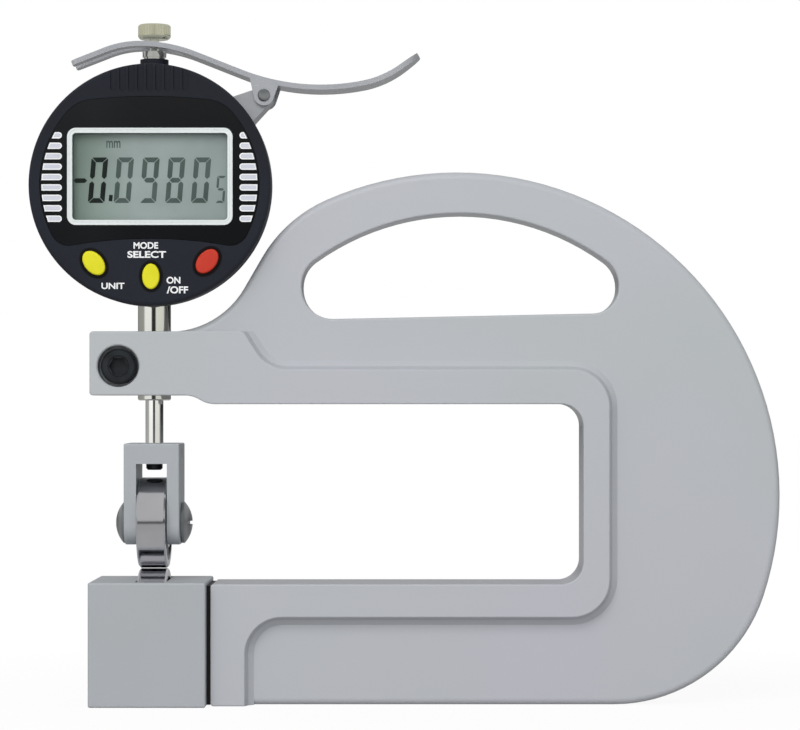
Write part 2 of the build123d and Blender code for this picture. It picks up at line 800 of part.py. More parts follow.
with BuildPart() as clevis_grub:
    grub_plane = along_x(spindle_r, clevis_top - clevis_grub_drop)
    grub_length = clevis_w / 2 - clevis_edge_r - spindle_r
    add(turned(grub_plane, [(clevis_grub_r, 0, grub_length)]))
    with BuildSketch(grub_plane.offset(grub_length)):
        RegularPolygon(clevis_grub_r * grub_hex_share, 6, major_radius=False)
    extrude(amount=-clevis_grub_r, mode=Mode.SUBTRACT)
publish(clevis_grub.part, "clevis_grub")

with BuildPart() as clevis_screw:
    ceiling_plane = Plane(origin=(0, 0, clevis_ceiling), x_dir=(1, 0, 0), z_dir=(0, 0, -1))
    add(slotted_screw(ceiling_plane, pan_screw_r, spindle_floor + pan_bite, pan_head_r, pan_head_h))
    chamfer(clevis_screw.edges().filter_by(GeomType.CIRCLE).group_by(Axis.Z)[0], pan_head_edge)
publish(clevis_screw.part, "clevis_screw")


def domed_head(side, turn):
    """Slotted dome on one side of the clevis, with a narrow neck against the leg."""
    face = clevis_w / 2
    with BuildPart() as head:
        with BuildSketch(Plane.XZ):
            with BuildLine():
                Line((face, upper_z), (face, upper_z + dome_neck_r))
                Line((face, upper_z + dome_neck_r), (face + dome_neck, upper_z + dome_neck_r))
                Line((face + dome_neck, upper_z + dome_neck_r), (face + dome_neck, upper_z + dome_r))
                land = Line(
                    (face + dome_neck, upper_z + dome_r), (face + dome_neck + dome_land, upper_z + dome_r)
                )
                tip = (face + dome_neck + dome_h, upper_z)
                rise = dome_h - dome_land
                dome_curve = RadiusArc(land @ 1, tip, (dome_r**2 + rise**2) / (2 * rise))
                Line(tip, (face, upper_z))
            make_face()
        revolve(axis=Axis((0, 0, upper_z), (1, 0, 0)))
        slot_plane = along_x(face + dome_neck + dome_h, upper_z).rotated((0, 0, turn))
        with BuildSketch(slot_plane):
            Rectangle(2 * dome_r + cut_over, dome_slot_w)
        extrude(amount=-dome_slot_depth, mode=Mode.SUBTRACT)
    if side > 0:
        return head.part
    return mirror(head.part, about=Plane.YZ)


with BuildPart() as axle_sleeve:
    add(domed_head(-1, dome_slot_turn))
    barrel = [(bearing_bore_r, -clevis_w / 2, clevis_w / 2 - sleeve_short)]
    thread = [(sleeve_thread_r + seat_gap, clevis_w / 2 - sleeve_thread_length - side_gap, clevis_w / 2)]
    add(turned(along_x(0, upper_z), barrel, thread))
publish(axle_sleeve.part, "upper_axle_sleeve")

with BuildPart() as axle_screw:
    add(domed_head(1, 0))
    threaded = [(sleeve_thread_r, clevis_w / 2 - sleeve_thread_length, clevis_w / 2)]
    add(turned(along_x(0, upper_z), threaded))
publish(axle_screw.part, "upper_axle_screw")

# Spindle and what rides on it
with BuildPart() as spindle:
    pan_bore = [(pan_screw_r + seat_gap, spindle_bottom, spindle_bottom + pan_bite + side_gap)]
    rod_bore = [(lift_rod_r + seat_gap, spindle_top - lift_rod_bite, spindle_top)]
    add(turned(Plane.XY, [(spindle_r, spindle_bottom, spindle_top)], pan_bore + rod_bore))
publish(spindle.part, "spindle")

rod_top = knob_bottom + knob_h - rod_short
with BuildPart() as lift_rod:
    add(turned(Plane.XY, [(lift_rod_r, spindle_top - lift_rod_bite, rod_top)]))
publish(lift_rod.part, "lift_rod")

with BuildPart() as lift_knob:
    add(turned(Plane.XY, [(knob_r, knob_bottom, knob_bottom + knob_h)]))
    fillet(lift_knob.edges().group_by(Axis.Z)[0], knob_round)
    chamfer(lift_knob.edges().group_by(Axis.Z)[-1], knob_edge)
    with BuildSketch(Plane.XY.offset(knob_bottom + knob_round)):
        with PolarLocations(knob_r, knurl_count):
            Circle(knurl_r)
    extrude(amount=knob_h, mode=Mode.SUBTRACT)
    add(turned(Plane.XY, [(lift_rod_r + seat_gap, knob_bottom, rod_top)]), mode=Mode.SUBTRACT)
publish(lift_knob.part, "lift_knob")

with BuildPart() as scale_carrier:
    with BuildSketch(Plane.XY.offset(carrier_bottom)):
        with Locations((0, (carrier_back - carrier_front) / 2)):
            Rectangle(carrier_w, carrier_front + carrier_back)
        Circle(spindle_r + seat_gap, mode=Mode.SUBTRACT)
    extrude(amount=carrier_h)
    with BuildSketch(along_x(0, pin_z)):
        Circle(guide_pin_r + seat_gap)
    extrude(amount=carrier_w, mode=Mode.SUBTRACT)
publish(scale_carrier.part, "scale_carrier")

with BuildPart() as scale_strip:
    with BuildSketch(across(-carrier_front)):
        with Locations((0, scale_bottom + scale_length / 2)):
            Rectangle(carrier_w, scale_length)
    extrude(amount=scale_t)
publish(scale_strip.part, "scale_strip")

with BuildPart() as guide_pin:
    add(turned(along_x(0, pin_z), [(guide_pin_r, spindle_r, guide_pin_reach)]))
publish(guide_pin.part, "guide_pin")

with BuildPart() as return_spring:
    spring_low = spindle_top + spring_wire_r
    spring_height = top_bush_bottom - spindle_top - 2 * spring_wire_r
    with BuildLine():
        coil = Helix(spring_height / spring_turns, spring_height, spring_r, center=(0, 0, spring_low))
    with BuildSketch(Plane(origin=coil @ 0, z_dir=coil % 0)):
        Circle(spring_wire_r)
    sweep()
publish(return_spring.part, "return_spring")

# Stem and bushes
with BuildPart() as stem:
    add(turned(Plane.XY, [(stem_r, stem_bottom, stem_top)]))
    chamfer(stem.edges().group_by(Axis.Z)[0], stem_edge)
    add(turned(Plane.XY, [(stem_bore_r, stem_bottom, stem_top)]), mode=Mode.SUBTRACT)
publish(stem.part, "stem")

with BuildPart() as stem_bushes:
    for low in (stem_bottom, stem_top - bush_length):
        high = low + bush_length
        add(turned(Plane.XY, [(stem_bore_r - seat_gap, low, high)], [(spindle_r + run_gap, low, high)]))
publish(stem_bushes.part, "stem_bushes")

with BuildPart() as top_bush:
    bush_steps = [
        (top_bush_r, top_bush_bottom, collar_bottom),
        (collar_neck_r, top_boss_top, collar_bottom),
        (collar_r, collar_bottom, collar_top),
    ]
    rod_hole = [(lift_rod_r + run_gap, top_bush_bottom, collar_top)]
    add(turned(Plane.XY, bush_steps, rod_hole))
publish(top_bush.part, "top_bush")


# Indicator case: front shell with its bezel, recess, display opening and button holes
def plate_outline(grow):
    """Outline of the face plate on the dial, grown by the given amount."""
    low_centre = -plate_low - plate_low_r
    with BuildSketch() as plate:
        Circle(plate_r + grow)
        with Locations((0, plate_top - plate_high_r)):
            Circle(plate_high_r + grow, mode=Mode.INTERSECT)
        with Locations((0, low_centre)):
            Circle(plate_low_r - grow, mode=Mode.SUBTRACT)
        fillet(plate.vertices().group_by(Axis.Y)[0], plate_low_corner)
        fillet(plate.vertices().group_by(Axis.Y)[-1], plate_top_corner)
    return plate.sketch


def ellipse_hole(place, grow):
    """Outline of a button on the dial, grown by the given amount."""
    x, z, half_long, half_short, lean = place
    with BuildSketch() as shape:
        with Locations(Location((x, z), lean)):
            Ellipse(half_long + grow, half_short + grow)
    return shape.sketch


with BuildPart() as case_front:
    with BuildSketch(on_dial(bezel_back)):
        Circle(bezel_r)
    extrude(amount=bezel_back - bezel_front)
    fillet(case_front.faces().sort_by(Axis.Y)[0].edges(), bezel_round)
    fillet(case_front.faces().sort_by(Axis.Y)[-1].edges(), cover_edge_r)
    with BuildSketch(on_dial(bezel_back)):
        Circle(cavity_r)
    extrude(amount=bezel_back - wall_back, mode=Mode.SUBTRACT)
    with BuildSketch(on_dial(plate_back)):
        add(plate_outline(side_gap))
    extrude(amount=plate_t, mode=Mode.SUBTRACT)
    with BuildSketch(on_dial(wall_back)):
        with Locations((display_x, display_z)):
            RectangleRounded(display_w, display_h, surround_r - surround_w)
        for place in buttons.values():
            add(ellipse_hole(place, button_rim))
    extrude(amount=bezel_wall, mode=Mode.SUBTRACT)
    # Grip grooves that run out over the rim at the top
    with BuildSketch(on_dial(bezel_front + groove_depth)):
        groove_top = bezel_r + groove_w
        for i in range(groove_count):
            groove_x = (i - (groove_count - 1) / 2) * groove_pitch
            with Locations((groove_x, (groove_low + groove_w / 2 + groove_top) / 2)):
                Rectangle(groove_w, groove_top - groove_low - groove_w / 2)
            with Locations((groove_x, groove_low + groove_w / 2)):
                Circle(groove_w / 2)
    extrude(amount=groove_depth, mode=Mode.SUBTRACT)
    # Posts that carry the board and take the case screws
    with BuildSketch(on_dial(board_front)):
        with Locations(*post_places):
            Circle(post_r)
    extrude(amount=board_front - wall_back)
    with BuildSketch(on_dial(board_back)):
        with Locations(*post_places):
            Circle(post_pin_r)
    extrude(amount=board_t)
    with BuildSketch(on_dial(board_back)):
        with Locations(*post_places):
            Circle(case_screw_r + seat_gap)
    extrude(amount=case_screw_bite + side_gap, mode=Mode.SUBTRACT)
publish(case_front.part, "case_front")

with BuildPart() as face_plate:
    with BuildSketch(on_dial(plate_back)):
        add(plate_outline(0))
        with Locations((display_x, display_z)):
            RectangleRounded(
                display_w + 2 * surround_w + side_gap,
                display_h + 2 * surround_w + side_gap,
                surround_r,
                mode=Mode.SUBTRACT,
            )
    extrude(amount=plate_t)
publish(face_plate.part, "face_plate")

with BuildPart() as lcd_surround:
    with BuildSketch(on_dial(plate_back)):
        with Locations((display_x, display_z)):
            RectangleRounded(display_w + 2 * surround_w, display_h + 2 * surround_w, surround_r)
            RectangleRounded(display_w, display_h, surround_r - surround_w, mode=Mode.SUBTRACT)
    extrude(amount=plate_t + surround_proud)
    with BuildSketch(on_dial(bezel_front - surround_proud + surround_line_depth)):
        with Locations((display_x, display_z)):
            for grow, mode in ((surround_line_w / 2, Mode.ADD), (-surround_line_w / 2, Mode.SUBTRACT)):
                middle = surround_w / 2 + grow
                line_r = surround_r - surround_w + middle
                RectangleRounded(display_w + 2 * middle, display_h + 2 * middle, line_r, mode=mode)
    extrude(amount=surround_line_depth, mode=Mode.SUBTRACT)
publish(lcd_surround.part, "lcd_surround")

with BuildPart() as lcd_lens:
    with BuildSketch(on_dial(bezel_front + lens_sunk + lens_t)):
        with Locations((display_x, display_z)):
            lens_corner = surround_r - surround_w
            RectangleRounded(display_w - 2 * seat_gap, display_h - 2 * seat_gap, lens_corner)
    extrude(amount=lens_t)
publish(lcd_lens.part, "lcd_lens")

panel_w = display_w + 2 * panel_margin
panel_h = display_h + 2 * panel_margin
with BuildPart() as lcd_panel:
    with BuildSketch(on_dial(panel_back)):
        with Locations((display_x, display_z)):
            Rectangle(panel_w, panel_h)
    extrude(amount=panel_t)
publish(lcd_panel.part, "lcd_panel")

with BuildPart() as contact_strips:
    with BuildSketch(on_dial(board_front)):
        for side in (-1, 1):
            with Locations((display_x, display_z + side * (panel_h - strip_w) / 2)):
                Rectangle(strip_length, strip_w)
    extrude(amount=board_gap)
publish(contact_strips.part, "contact_strips")

with BuildPart() as circuit_board:
    with BuildSketch(on_dial(board_back)):
        Circle(board_r)
        with Locations(*post_places):
            Circle(post_pin_r + side_gap, mode=Mode.SUBTRACT)
    extrude(amount=board_t)
publish(circuit_board.part, "circuit_board")

with BuildPart() as button_pad:
    with BuildSketch(on_dial(board_front)):
        Circle(pad_outer_r)
        Circle(pad_inner_r, mode=Mode.SUBTRACT)
        with BuildLine():
            reach = 2 * pad_outer_r
            side_x = reach * sin(radians(pad_half_angle))
            side_z = -reach * cos(radians(pad_half_angle))
            Polyline((0, 0), (-side_x, side_z), (0, -2 * reach), (side_x, side_z), close=True)
        make_face(mode=Mode.INTERSECT)
    extrude(amount=pad_t)
    flange_back = wall_back + side_gap / 2 + flange_t
    dome_top = flange_back + button_travel + side_gap / 2
    with BuildSketch(on_dial(board_front - pad_t)):
        for x, z, half_long, half_short, lean in buttons.values():
            with Locations((x, z)):
                Circle(dome_pad_r)
    extrude(amount=board_front - pad_t - dome_top)
publish(button_pad.part, "button_pad")

for button_name, place in buttons.items():
    with BuildPart() as button:
        with BuildSketch(on_dial(wall_back + side_gap / 2)):
            add(ellipse_hole(place, 0))
        extrude(amount=wall_back + side_gap / 2 - bezel_front + button_proud)
        fillet(button.faces().sort_by(Axis.Y)[0].edges(), button_rim)
        with BuildSketch(on_dial(flange_back)):
            add(ellipse_hole(place, button_rim + flange_lip))
            Circle(cavity_r - side_gap, mode=Mode.INTERSECT)
        extrude(amount=flange_t)
    publish(button.part, button_name)

# Back shell: ring with bosses for the stem and the top bush, posts, guide rail and bracket seat
with BuildPart() as case_back:
    with BuildSketch(on_dial(shell_back)):
        Circle(shell_r)
    extrude(amount=shell_back - bezel_back)
    bracket_plane = Plane(
        origin=(0, 0, dial_z),
        x_dir=(0, 1, 0),
        z_dir=(cos(radians(seat_angle)), 0, sin(radians(seat_angle))),
    )
    with BuildSketch(on_dial(shell_back)):
        Circle(shell_r - shell_wall)
    extrude(amount=shell_back - bezel_back, mode=Mode.SUBTRACT)
    # Inner pad behind the bracket's flat
    with BuildSketch(on_dial(shell_back, seat_angle)):
        with Locations((bracket_flat - seat_depth / 2, 0)):
            Rectangle(seat_depth, 2 * foot_half)
    extrude(amount=shell_back - foot_front)
    with BuildSketch(on_dial(foot_back + side_gap, seat_angle)):
        with Locations((bracket_flat + foot_t, 0)):
            Rectangle(2 * foot_t, 4 * foot_half)
    extrude(amount=foot_back - foot_front + 2 * side_gap, mode=Mode.SUBTRACT)
    # Posts
    with BuildSketch(on_dial(shell_back)):
        with Locations(*post_places):
            Circle(post_r)
    extrude(amount=shell_back - board_back)
    # Bosses
    boss_low = dial_z - shell_r + boss_root
    add(turned(Plane.XY, [(stem_boss_r, boss_low, boss_high)]))
    add(turned(Plane.XY, [(top_boss_r, top_bush_bottom, top_boss_top)]))
    # Guide rail for the pin that keeps the spindle from turning
    rail_low = boss_high - boss_root
    rail_top = pin_z + travel + rail_over
    with BuildSketch(Plane.XY.offset(rail_low)):
        with Locations((rail_x + rail_w / 2, 0)):
            Rectangle(rail_w, rail_depth)
    extrude(amount=rail_top - rail_low)
    with BuildSketch(Plane.XY.offset(boss_high + slot_floor)):
        with Locations((rail_x + rail_w / 2, 0)):
            Rectangle(rail_w + side_gap, 2 * (guide_pin_r + run_gap))
    extrude(amount=rail_top - boss_high, mode=Mode.SUBTRACT)
    # Bores
    add(
        turned(
            Plane.XY,
            [
                (stem_r + seat_gap, boss_low - shell_wall, stem_top),
                (spindle_r + part_gap, stem_top, boss_high),
                (top_bush_r + seat_gap, top_bush_bottom - shell_wall, top_boss_top),
            ],
        ),
        mode=Mode.SUBTRACT,
    )
    with BuildSketch(on_dial(shell_back)):
        with Locations(*post_places):
            Circle(case_screw_r + run_gap)
    extrude(amount=shell_back - board_back, mode=Mode.SUBTRACT)
    with BuildSketch(bracket_plane.offset(bracket_flat)):
        with Locations((bracket_screw_y, -bracket_screw_v), (bracket_screw_y, bracket_screw_v)):
            Circle(bracket_screw_r + seat_gap)
    extrude(amount=-bracket_screw_bite - side_gap, mode=Mode.SUBTRACT)
publish(case_back.part, "case_back")

cover_back = shell_back + cover_t
head_seat_y = cover_back - case_head_h
with BuildPart() as back_cover:
    with BuildSketch(on_dial(cover_back)):
        Circle(shell_r)
    extrude(amount=cover_t)
    fillet(back_cover.faces().sort_by(Axis.Y)[-1].edges(), cover_edge_r)
    with BuildSketch(on_dial(cover_back)):
        Circle(door_r)
        with Locations(*post_places):
            Circle(case_screw_r + run_gap)
    extrude(amount=cover_t, mode=Mode.SUBTRACT)
    with BuildSketch(on_dial(cover_back)):
        with Locations(*post_places):
            Circle(case_head_bore)
    extrude(amount=case_head_h, mode=Mode.SUBTRACT)
publish(back_cover.part, "back_cover")

with BuildPart() as case_screws:
    for x, z in post_places:
        seat = Plane(origin=(x, head_seat_y, dial_z + z), x_dir=(1, 0, 0), z_dir=(0, 1, 0))
        length = head_seat_y - board_back + case_screw_bite
        add(slotted_screw(seat, case_screw_r, length, case_head_r, case_head_h))
publish(case_screws.part, "case_screws")

with BuildPart() as battery_door:
    with BuildSketch(on_dial(cover_back)):
        Circle(door_r - side_gap)
    extrude(amount=cover_t)
    with BuildSketch(on_dial(shell_back)):
        Circle(door_boss_r)
    extrude(amount=shell_back - battery_front - battery_t - side_gap)
    with BuildSketch(on_dial(cover_back)):
        SlotOverall(coin_slot_length, coin_slot_w)
    extrude(amount=coin_slot_depth, mode=Mode.SUBTRACT)
publish(battery_door.part, "battery_door")

with BuildPart() as battery:
    with BuildSketch(on_dial(battery_front + battery_t)):
        Circle(battery_r)
    extrude(amount=battery_t)
    chamfer(battery.edges(), contact_t)
publish(battery.part, "battery")

holder_r = battery_r + holder_gap
with BuildPart() as battery_holder:
    floor_y = battery_front - contact_t
    with BuildSketch(on_dial(shell_back)):
        Circle(holder_r + holder_wall)
    extrude(amount=shell_back - floor_y + holder_floor)
    with BuildSketch(on_dial(shell_back)):
        Circle(holder_flange_r)
    extrude(amount=holder_flange_t)
    with BuildSketch(on_dial(shell_back)):
        Circle(holder_r)
    extrude(amount=shell_back - floor_y, mode=Mode.SUBTRACT)
publish(battery_holder.part, "battery_holder")

with BuildPart() as battery_contacts:
    with BuildSketch(on_dial(battery_front)):
        Rectangle(battery_r, contact_w)
    extrude(amount=contact_t)
    with BuildSketch(on_dial(battery_front + battery_t)):
        with Locations((0, -battery_r - contact_t / 2)):
            Rectangle(contact_w, contact_t)
    extrude(amount=battery_t - side_gap)
publish(battery_contacts.part, "battery_contacts")

with BuildPart() as sensor_board:
    with BuildSketch(across(sensor_front + sensor_t)):
        with Locations((0, sensor_bottom + sensor_h / 2)):
            Rectangle(sensor_w, sensor_h)
    extrude(amount=sensor_t)
    with BuildSketch(across(sensor_front)):
        for z in (sensor_bottom + sensor_leg / 2, sensor_bottom + sensor_h - sensor_leg / 2):
            with Locations((0, z)):
                Rectangle(sensor_w, sensor_leg)
    extrude(amount=sensor_front - board_back)
publish(sensor_board.part, "sensor_board")

# Lever bracket on the side of the back shell
with BuildPart() as lever_bracket:
    with BuildSketch(on_dial(foot_back, seat_angle)):
        with Locations((bracket_flat + foot_t / 2, 0)):
            Rectangle(foot_t, 2 * foot_half)
    extrude(amount=foot_back - foot_front)
    with BuildSketch(on_dial(ear_inner - side_gap, seat_angle)) as tongue:
        with BuildLine():
            CenterArc((pivot_along, pivot_aside), tongue_end_r, 0, 360)
            foot_top = bracket_flat + foot_t / 2
            Line((foot_top, -tongue_half), (foot_top, tongue_half))
        make_hull()
    extrude(amount=2 * (ear_inner - side_gap))
    with BuildSketch(across(lever_w)):
        with Locations((pivot_x, pivot_z)):
            Circle(pivot_pin_r + run_gap)
    extrude(amount=2 * lever_w, mode=Mode.SUBTRACT)
    with BuildSketch(bracket_plane.offset(bracket_flat)):
        with Locations((bracket_screw_y, -bracket_screw_v), (bracket_screw_y, bracket_screw_v)):
            Circle(bracket_screw_r + run_gap)
    extrude(amount=foot_t, mode=Mode.SUBTRACT)
publish(lever_bracket.part, "lever_bracket")

with BuildPart() as bracket_screws:
    for side in (-1, 1):
        toward = Vector(cos(radians(seat_angle)), 0, sin(radians(seat_angle)))
        aside = Vector(-toward.Z, 0, toward.X)
        centre = Vector(0, bracket_screw_y, dial_z) + toward * (bracket_flat + foot_t)
        seat = Plane(origin=centre + aside * (side * bracket_screw_v), x_dir=(0, 1, 0), z_dir=toward)
        length = foot_t + bracket_screw_bite
        add(slotted_screw(seat, bracket_screw_r, length, bracket_head_r, bracket_head_h))
publish(bracket_screws.part, "bracket_screws")

# Lifting lever: bent sheet with a fork round the lift rod and two ears on the pivot
tail_x = peak_x - hump_left_r * sin(radians(tail_slope)) - tail_length * cos(radians(tail_slope))
tail_z = peak_z - hump_left_r * (1 - cos(radians(tail_slope))) - tail_length * sin(radians(tail_slope))
with BuildPart() as lever:
    with BuildSketch(across(lever_w / 2)):
        with BuildLine():
            tail = PolarLine((tail_x, tail_z), tail_length, tail_slope)
            hump_left = JernArc(tail @ 1, tail % 1, hump_left_r, -tail_slope)
            hump_right = JernArc(hump_left @ 1, hump_left % 1, hump_right_r, -slope)
            run = PolarLine(hump_right @ 1, slope_length, -slope)
            dip = JernArc(run @ 1, run % 1, dip_r, slope + dip_rise)
            tip = JernArc(dip @ 1, dip % 1, tip_r, tip_slope - dip_rise)
            end = PolarLine(tip @ 1, tip_length, tip_slope)
            offset(amount=lever_t, side=Side.RIGHT)
        make_face()
    extrude(amount=lever_w)
    # Plan view: rounded tip, and a fork that is open at the tail
    tip_x = (end @ 1).X + lever_t * sin(radians(tip_slope))
    with BuildSketch(Plane.XY.offset(pivot_z - dip_r)) as plan:
        with Locations(((tail_x + tip_x) / 2, 0)):
            Rectangle(tip_x - tail_x, lever_w)
        fillet(plan.vertices().group_by(Axis.X)[-1], tip_round)
        with Locations(((tail_x + fork_end - fork_w / 2) / 2, 0)):
            Rectangle(fork_end - fork_w / 2 - tail_x, fork_w, mode=Mode.SUBTRACT)
        with Locations((fork_end - fork_w / 2, 0)):
            Circle(fork_w / 2, mode=Mode.SUBTRACT)
        fillet(plan.vertices().group_by(Axis.X)[0], tine_round)
    extrude(amount=2 * dip_r, mode=Mode.INTERSECT)
    # Ears folded down round the pivot
    dip_x = (run @ 1).X + dip_r * sin(radians(slope))
    dip_z = (run @ 1).Y + dip_r * cos(radians(slope))
    ear_line = [
        (x, dip_z - sqrt((dip_r + lever_t / 2) ** 2 - (x - dip_x) ** 2))
        for x in (pivot_x - ear_half, pivot_x + ear_half)
    ]
    for rear in (ear_outer, -ear_inner):
        with BuildSketch(across(rear)):
            with BuildLine():
                CenterArc((pivot_x, pivot_z), ear_r, 0, 360)
                Line(*ear_line)
            make_hull()
        extrude(amount=lever_t)
    with BuildSketch(across(ear_outer)):
        with Locations((pivot_x, pivot_z)):
            Circle(pivot_pin_r + seat_gap)
    extrude(amount=lever_w, mode=Mode.SUBTRACT)
publish(lever.part, "lever")

with BuildPart() as lever_pin:
    pin_plane = Plane(origin=(pivot_x, 0, pivot_z), x_dir=(1, 0, 0), z_dir=(0, -1, 0))
    pin_steps = [
        (pivot_pin_r, -ear_outer, ear_outer),
        (pivot_head_r, ear_outer, ear_outer + pivot_head_h),
        (pivot_head_r, -ear_outer - pivot_head_h, -ear_outer),
    ]
    add(turned(pin_plane, pin_steps))
    pin_ends = lever_pin.faces().filter_by(Axis.Y).sort_by(Axis.Y)
    fillet(pin_ends[0].edges() + pin_ends[-1].edges(), pivot_head_round)
publish(lever_pin.part, "lever_pin")
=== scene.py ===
# %% [markdown]
# # A digital roller thickness gauge, dressed in Blender
# The construction comes finished from the imported model: a deep cast frame, a dial-shaped indicator with a
# display, a lifting lever, and two ball bearings that meet on the measuring axis. This lesson gives each
# of those pieces the finish of the real one. It adds the digits, the stripes on the face plate, the words
# by the buttons, thin black rings round the buttons that paint the shadow of their gaps, and a copy of the
# return spring. Nothing in the model is moved or resized.

# %% Load the imported model
import json
from math import pi, radians, sqrt

import bmesh
import bpy
from mathutils import Matrix, Vector


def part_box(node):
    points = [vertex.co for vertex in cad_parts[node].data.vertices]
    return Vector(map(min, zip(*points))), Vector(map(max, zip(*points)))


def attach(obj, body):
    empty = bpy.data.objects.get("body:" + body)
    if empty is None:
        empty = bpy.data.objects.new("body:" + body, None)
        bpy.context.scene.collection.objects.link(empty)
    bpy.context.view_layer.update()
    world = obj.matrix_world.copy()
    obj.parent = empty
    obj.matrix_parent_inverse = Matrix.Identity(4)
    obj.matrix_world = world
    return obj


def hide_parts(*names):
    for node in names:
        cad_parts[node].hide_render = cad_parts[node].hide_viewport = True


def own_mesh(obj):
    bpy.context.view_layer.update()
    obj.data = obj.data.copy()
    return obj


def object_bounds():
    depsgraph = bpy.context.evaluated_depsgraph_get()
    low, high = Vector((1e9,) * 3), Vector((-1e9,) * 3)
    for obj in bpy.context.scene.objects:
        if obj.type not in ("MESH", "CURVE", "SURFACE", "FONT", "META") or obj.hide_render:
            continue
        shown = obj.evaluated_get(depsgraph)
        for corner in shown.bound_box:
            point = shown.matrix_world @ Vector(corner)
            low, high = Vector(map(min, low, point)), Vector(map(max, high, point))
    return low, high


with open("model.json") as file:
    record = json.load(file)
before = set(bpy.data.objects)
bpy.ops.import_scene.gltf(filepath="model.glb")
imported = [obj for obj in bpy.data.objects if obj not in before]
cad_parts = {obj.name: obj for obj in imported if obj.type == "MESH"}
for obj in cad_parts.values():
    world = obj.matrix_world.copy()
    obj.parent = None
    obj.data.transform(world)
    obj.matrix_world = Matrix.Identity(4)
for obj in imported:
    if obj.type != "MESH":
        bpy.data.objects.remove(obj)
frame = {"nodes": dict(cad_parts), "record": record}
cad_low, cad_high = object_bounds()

MM = 0.001
print("the model measures", [round(x / MM, 1) for x in cad_high - cad_low], "mm")

# %% [markdown]
# ## The camera
# The photograph looks straight at the gauge: the front of the frame is seen square on, and only the right
# sides of block, clevis and rollers show. So the camera looks along Y from a point right of the measuring
# axis, below the middle of the picture, and the lens is shifted up to frame the whole gauge.

# %% Set the camera
PHOTO_WIDTH = 800
PHOTO_HEIGHT = 730
VANISHING = (421.6, 400.0)  # pixel at which lines that run away from the viewer meet
FOCAL_PIXELS = 2877  # focal length in pixels of the photograph
EYE = Vector((65.0, -700.0, 73.5)) * MM
NEAREST = 0.05  # metres in front of the camera at which its view begins

camera_data = bpy.data.cameras.new("camera")
camera = bpy.data.objects.new("camera", camera_data)
bpy.context.scene.collection.objects.link(camera)
bpy.context.scene.camera = camera
camera.location = EYE
camera.rotation_euler = (radians(90), 0, 0)
camera_data.lens = FOCAL_PIXELS * camera_data.sensor_width / PHOTO_WIDTH
camera_data.shift_x = (PHOTO_WIDTH / 2 - VANISHING[0]) / PHOTO_WIDTH
camera_data.shift_y = (VANISHING[1] - PHOTO_HEIGHT / 2) / PHOTO_WIDTH
camera_data.clip_start = NEAREST
bpy.context.scene.view_settings.view_transform = "Standard"
print("lens", round(camera_data.lens, 1), "mm, shift", round(camera_data.shift_y, 4))

# %% [markdown]
# ## Small helpers
# Colours are written as the hex codes that a colour picker shows, so one function turns them into the
# linear numbers that the renderer works with. One more adds a node with its settings and links. A mix of
# colours takes its share in socket 0 and the two colours in sockets 6 and 7, and gives the mix as output 2.

# %% Colour and node helpers


def shade(code):
    """The linear colour of an sRGB hex code."""
    channels = [int(code[i : i + 2], 16) / 255 for i in (1, 3, 5)]
    linear = [c / 12.92 if c <= 0.04045 else ((c + 0.055) / 1.055) ** 2.4 for c in channels]
    return (*linear, 1.0)


def put(tree, kind, sockets=None, stops=None, **settings):
    """Adds a node. Each socket is given a value, or another node's output to link; stops fill a ramp."""
    node = tree.nodes.new(kind)
    for name, value in settings.items():
        setattr(node, name, value)
    for key, value in (sockets or {}).items():
        if isinstance(value, bpy.types.NodeSocket):
            tree.links.new(value, node.inputs[key])
        else:
            node.inputs[key].default_value = value
    if stops:
        while len(node.color_ramp.elements) < len(stops):
            node.color_ramp.elements.new(0.5)
        for element, (position, code) in zip(node.color_ramp.elements, stops):
            element.position = position
            element.color = shade(code)
    return node


def blank(name):
    """A new material with an empty node tree, and that tree."""
    material = bpy.data.materials.new(name)
    material.use_nodes = True
    material.node_tree.nodes.clear()
    return material, material.node_tree


def close(material, tree, shader):
    """Joins the finished shader to the material's output."""
    put(tree, "ShaderNodeOutputMaterial", {"Surface": shader.outputs[0]})
    return material


print("mid grey #808080 is", round(shade("#808080")[0], 3), "in linear light")

# %% [markdown]
# ## Floor and light
# The gauge stands on a pale floor in front of white. For the camera the floor is nearly white, and keeps
# only the gauge's soft shadow. Most of the studio's light comes from the front and the back, so a wall
# that is seen at a slant stays darker than a face turned to the viewer. Polished metal mirrors a room of
# its own: bright and dark stretches of wall at eye level, a pale ceiling, and a dark background.

# %% Lay the floor
FLOOR_SIZE = 3.0
FLOOR_DROP = 0.02  # millimetres of air under the gauge
FLOOR_PAINT = "#b4b4b4"  # for the light that the floor sends back to the gauge
FLOOR_MIRRORED = "#a6a6a6"  # for polished metal
GLOW_NEAR = 0.93  # share of plain white in what the camera sees of the floor under the gauge
NEAR = 0.09  # metres from the middle of the gauge at which the floor begins to fade to plain white
FAR = 0.19

bpy.ops.object.select_all(action="DESELECT")
bpy.ops.mesh.primitive_plane_add(size=FLOOR_SIZE, location=(0, 0, -FLOOR_DROP * MM))
floor = bpy.context.object
floor.name = "floor"
floor_paint, tree = blank("white_studio_floor")
path = put(tree, "ShaderNodeLightPath")
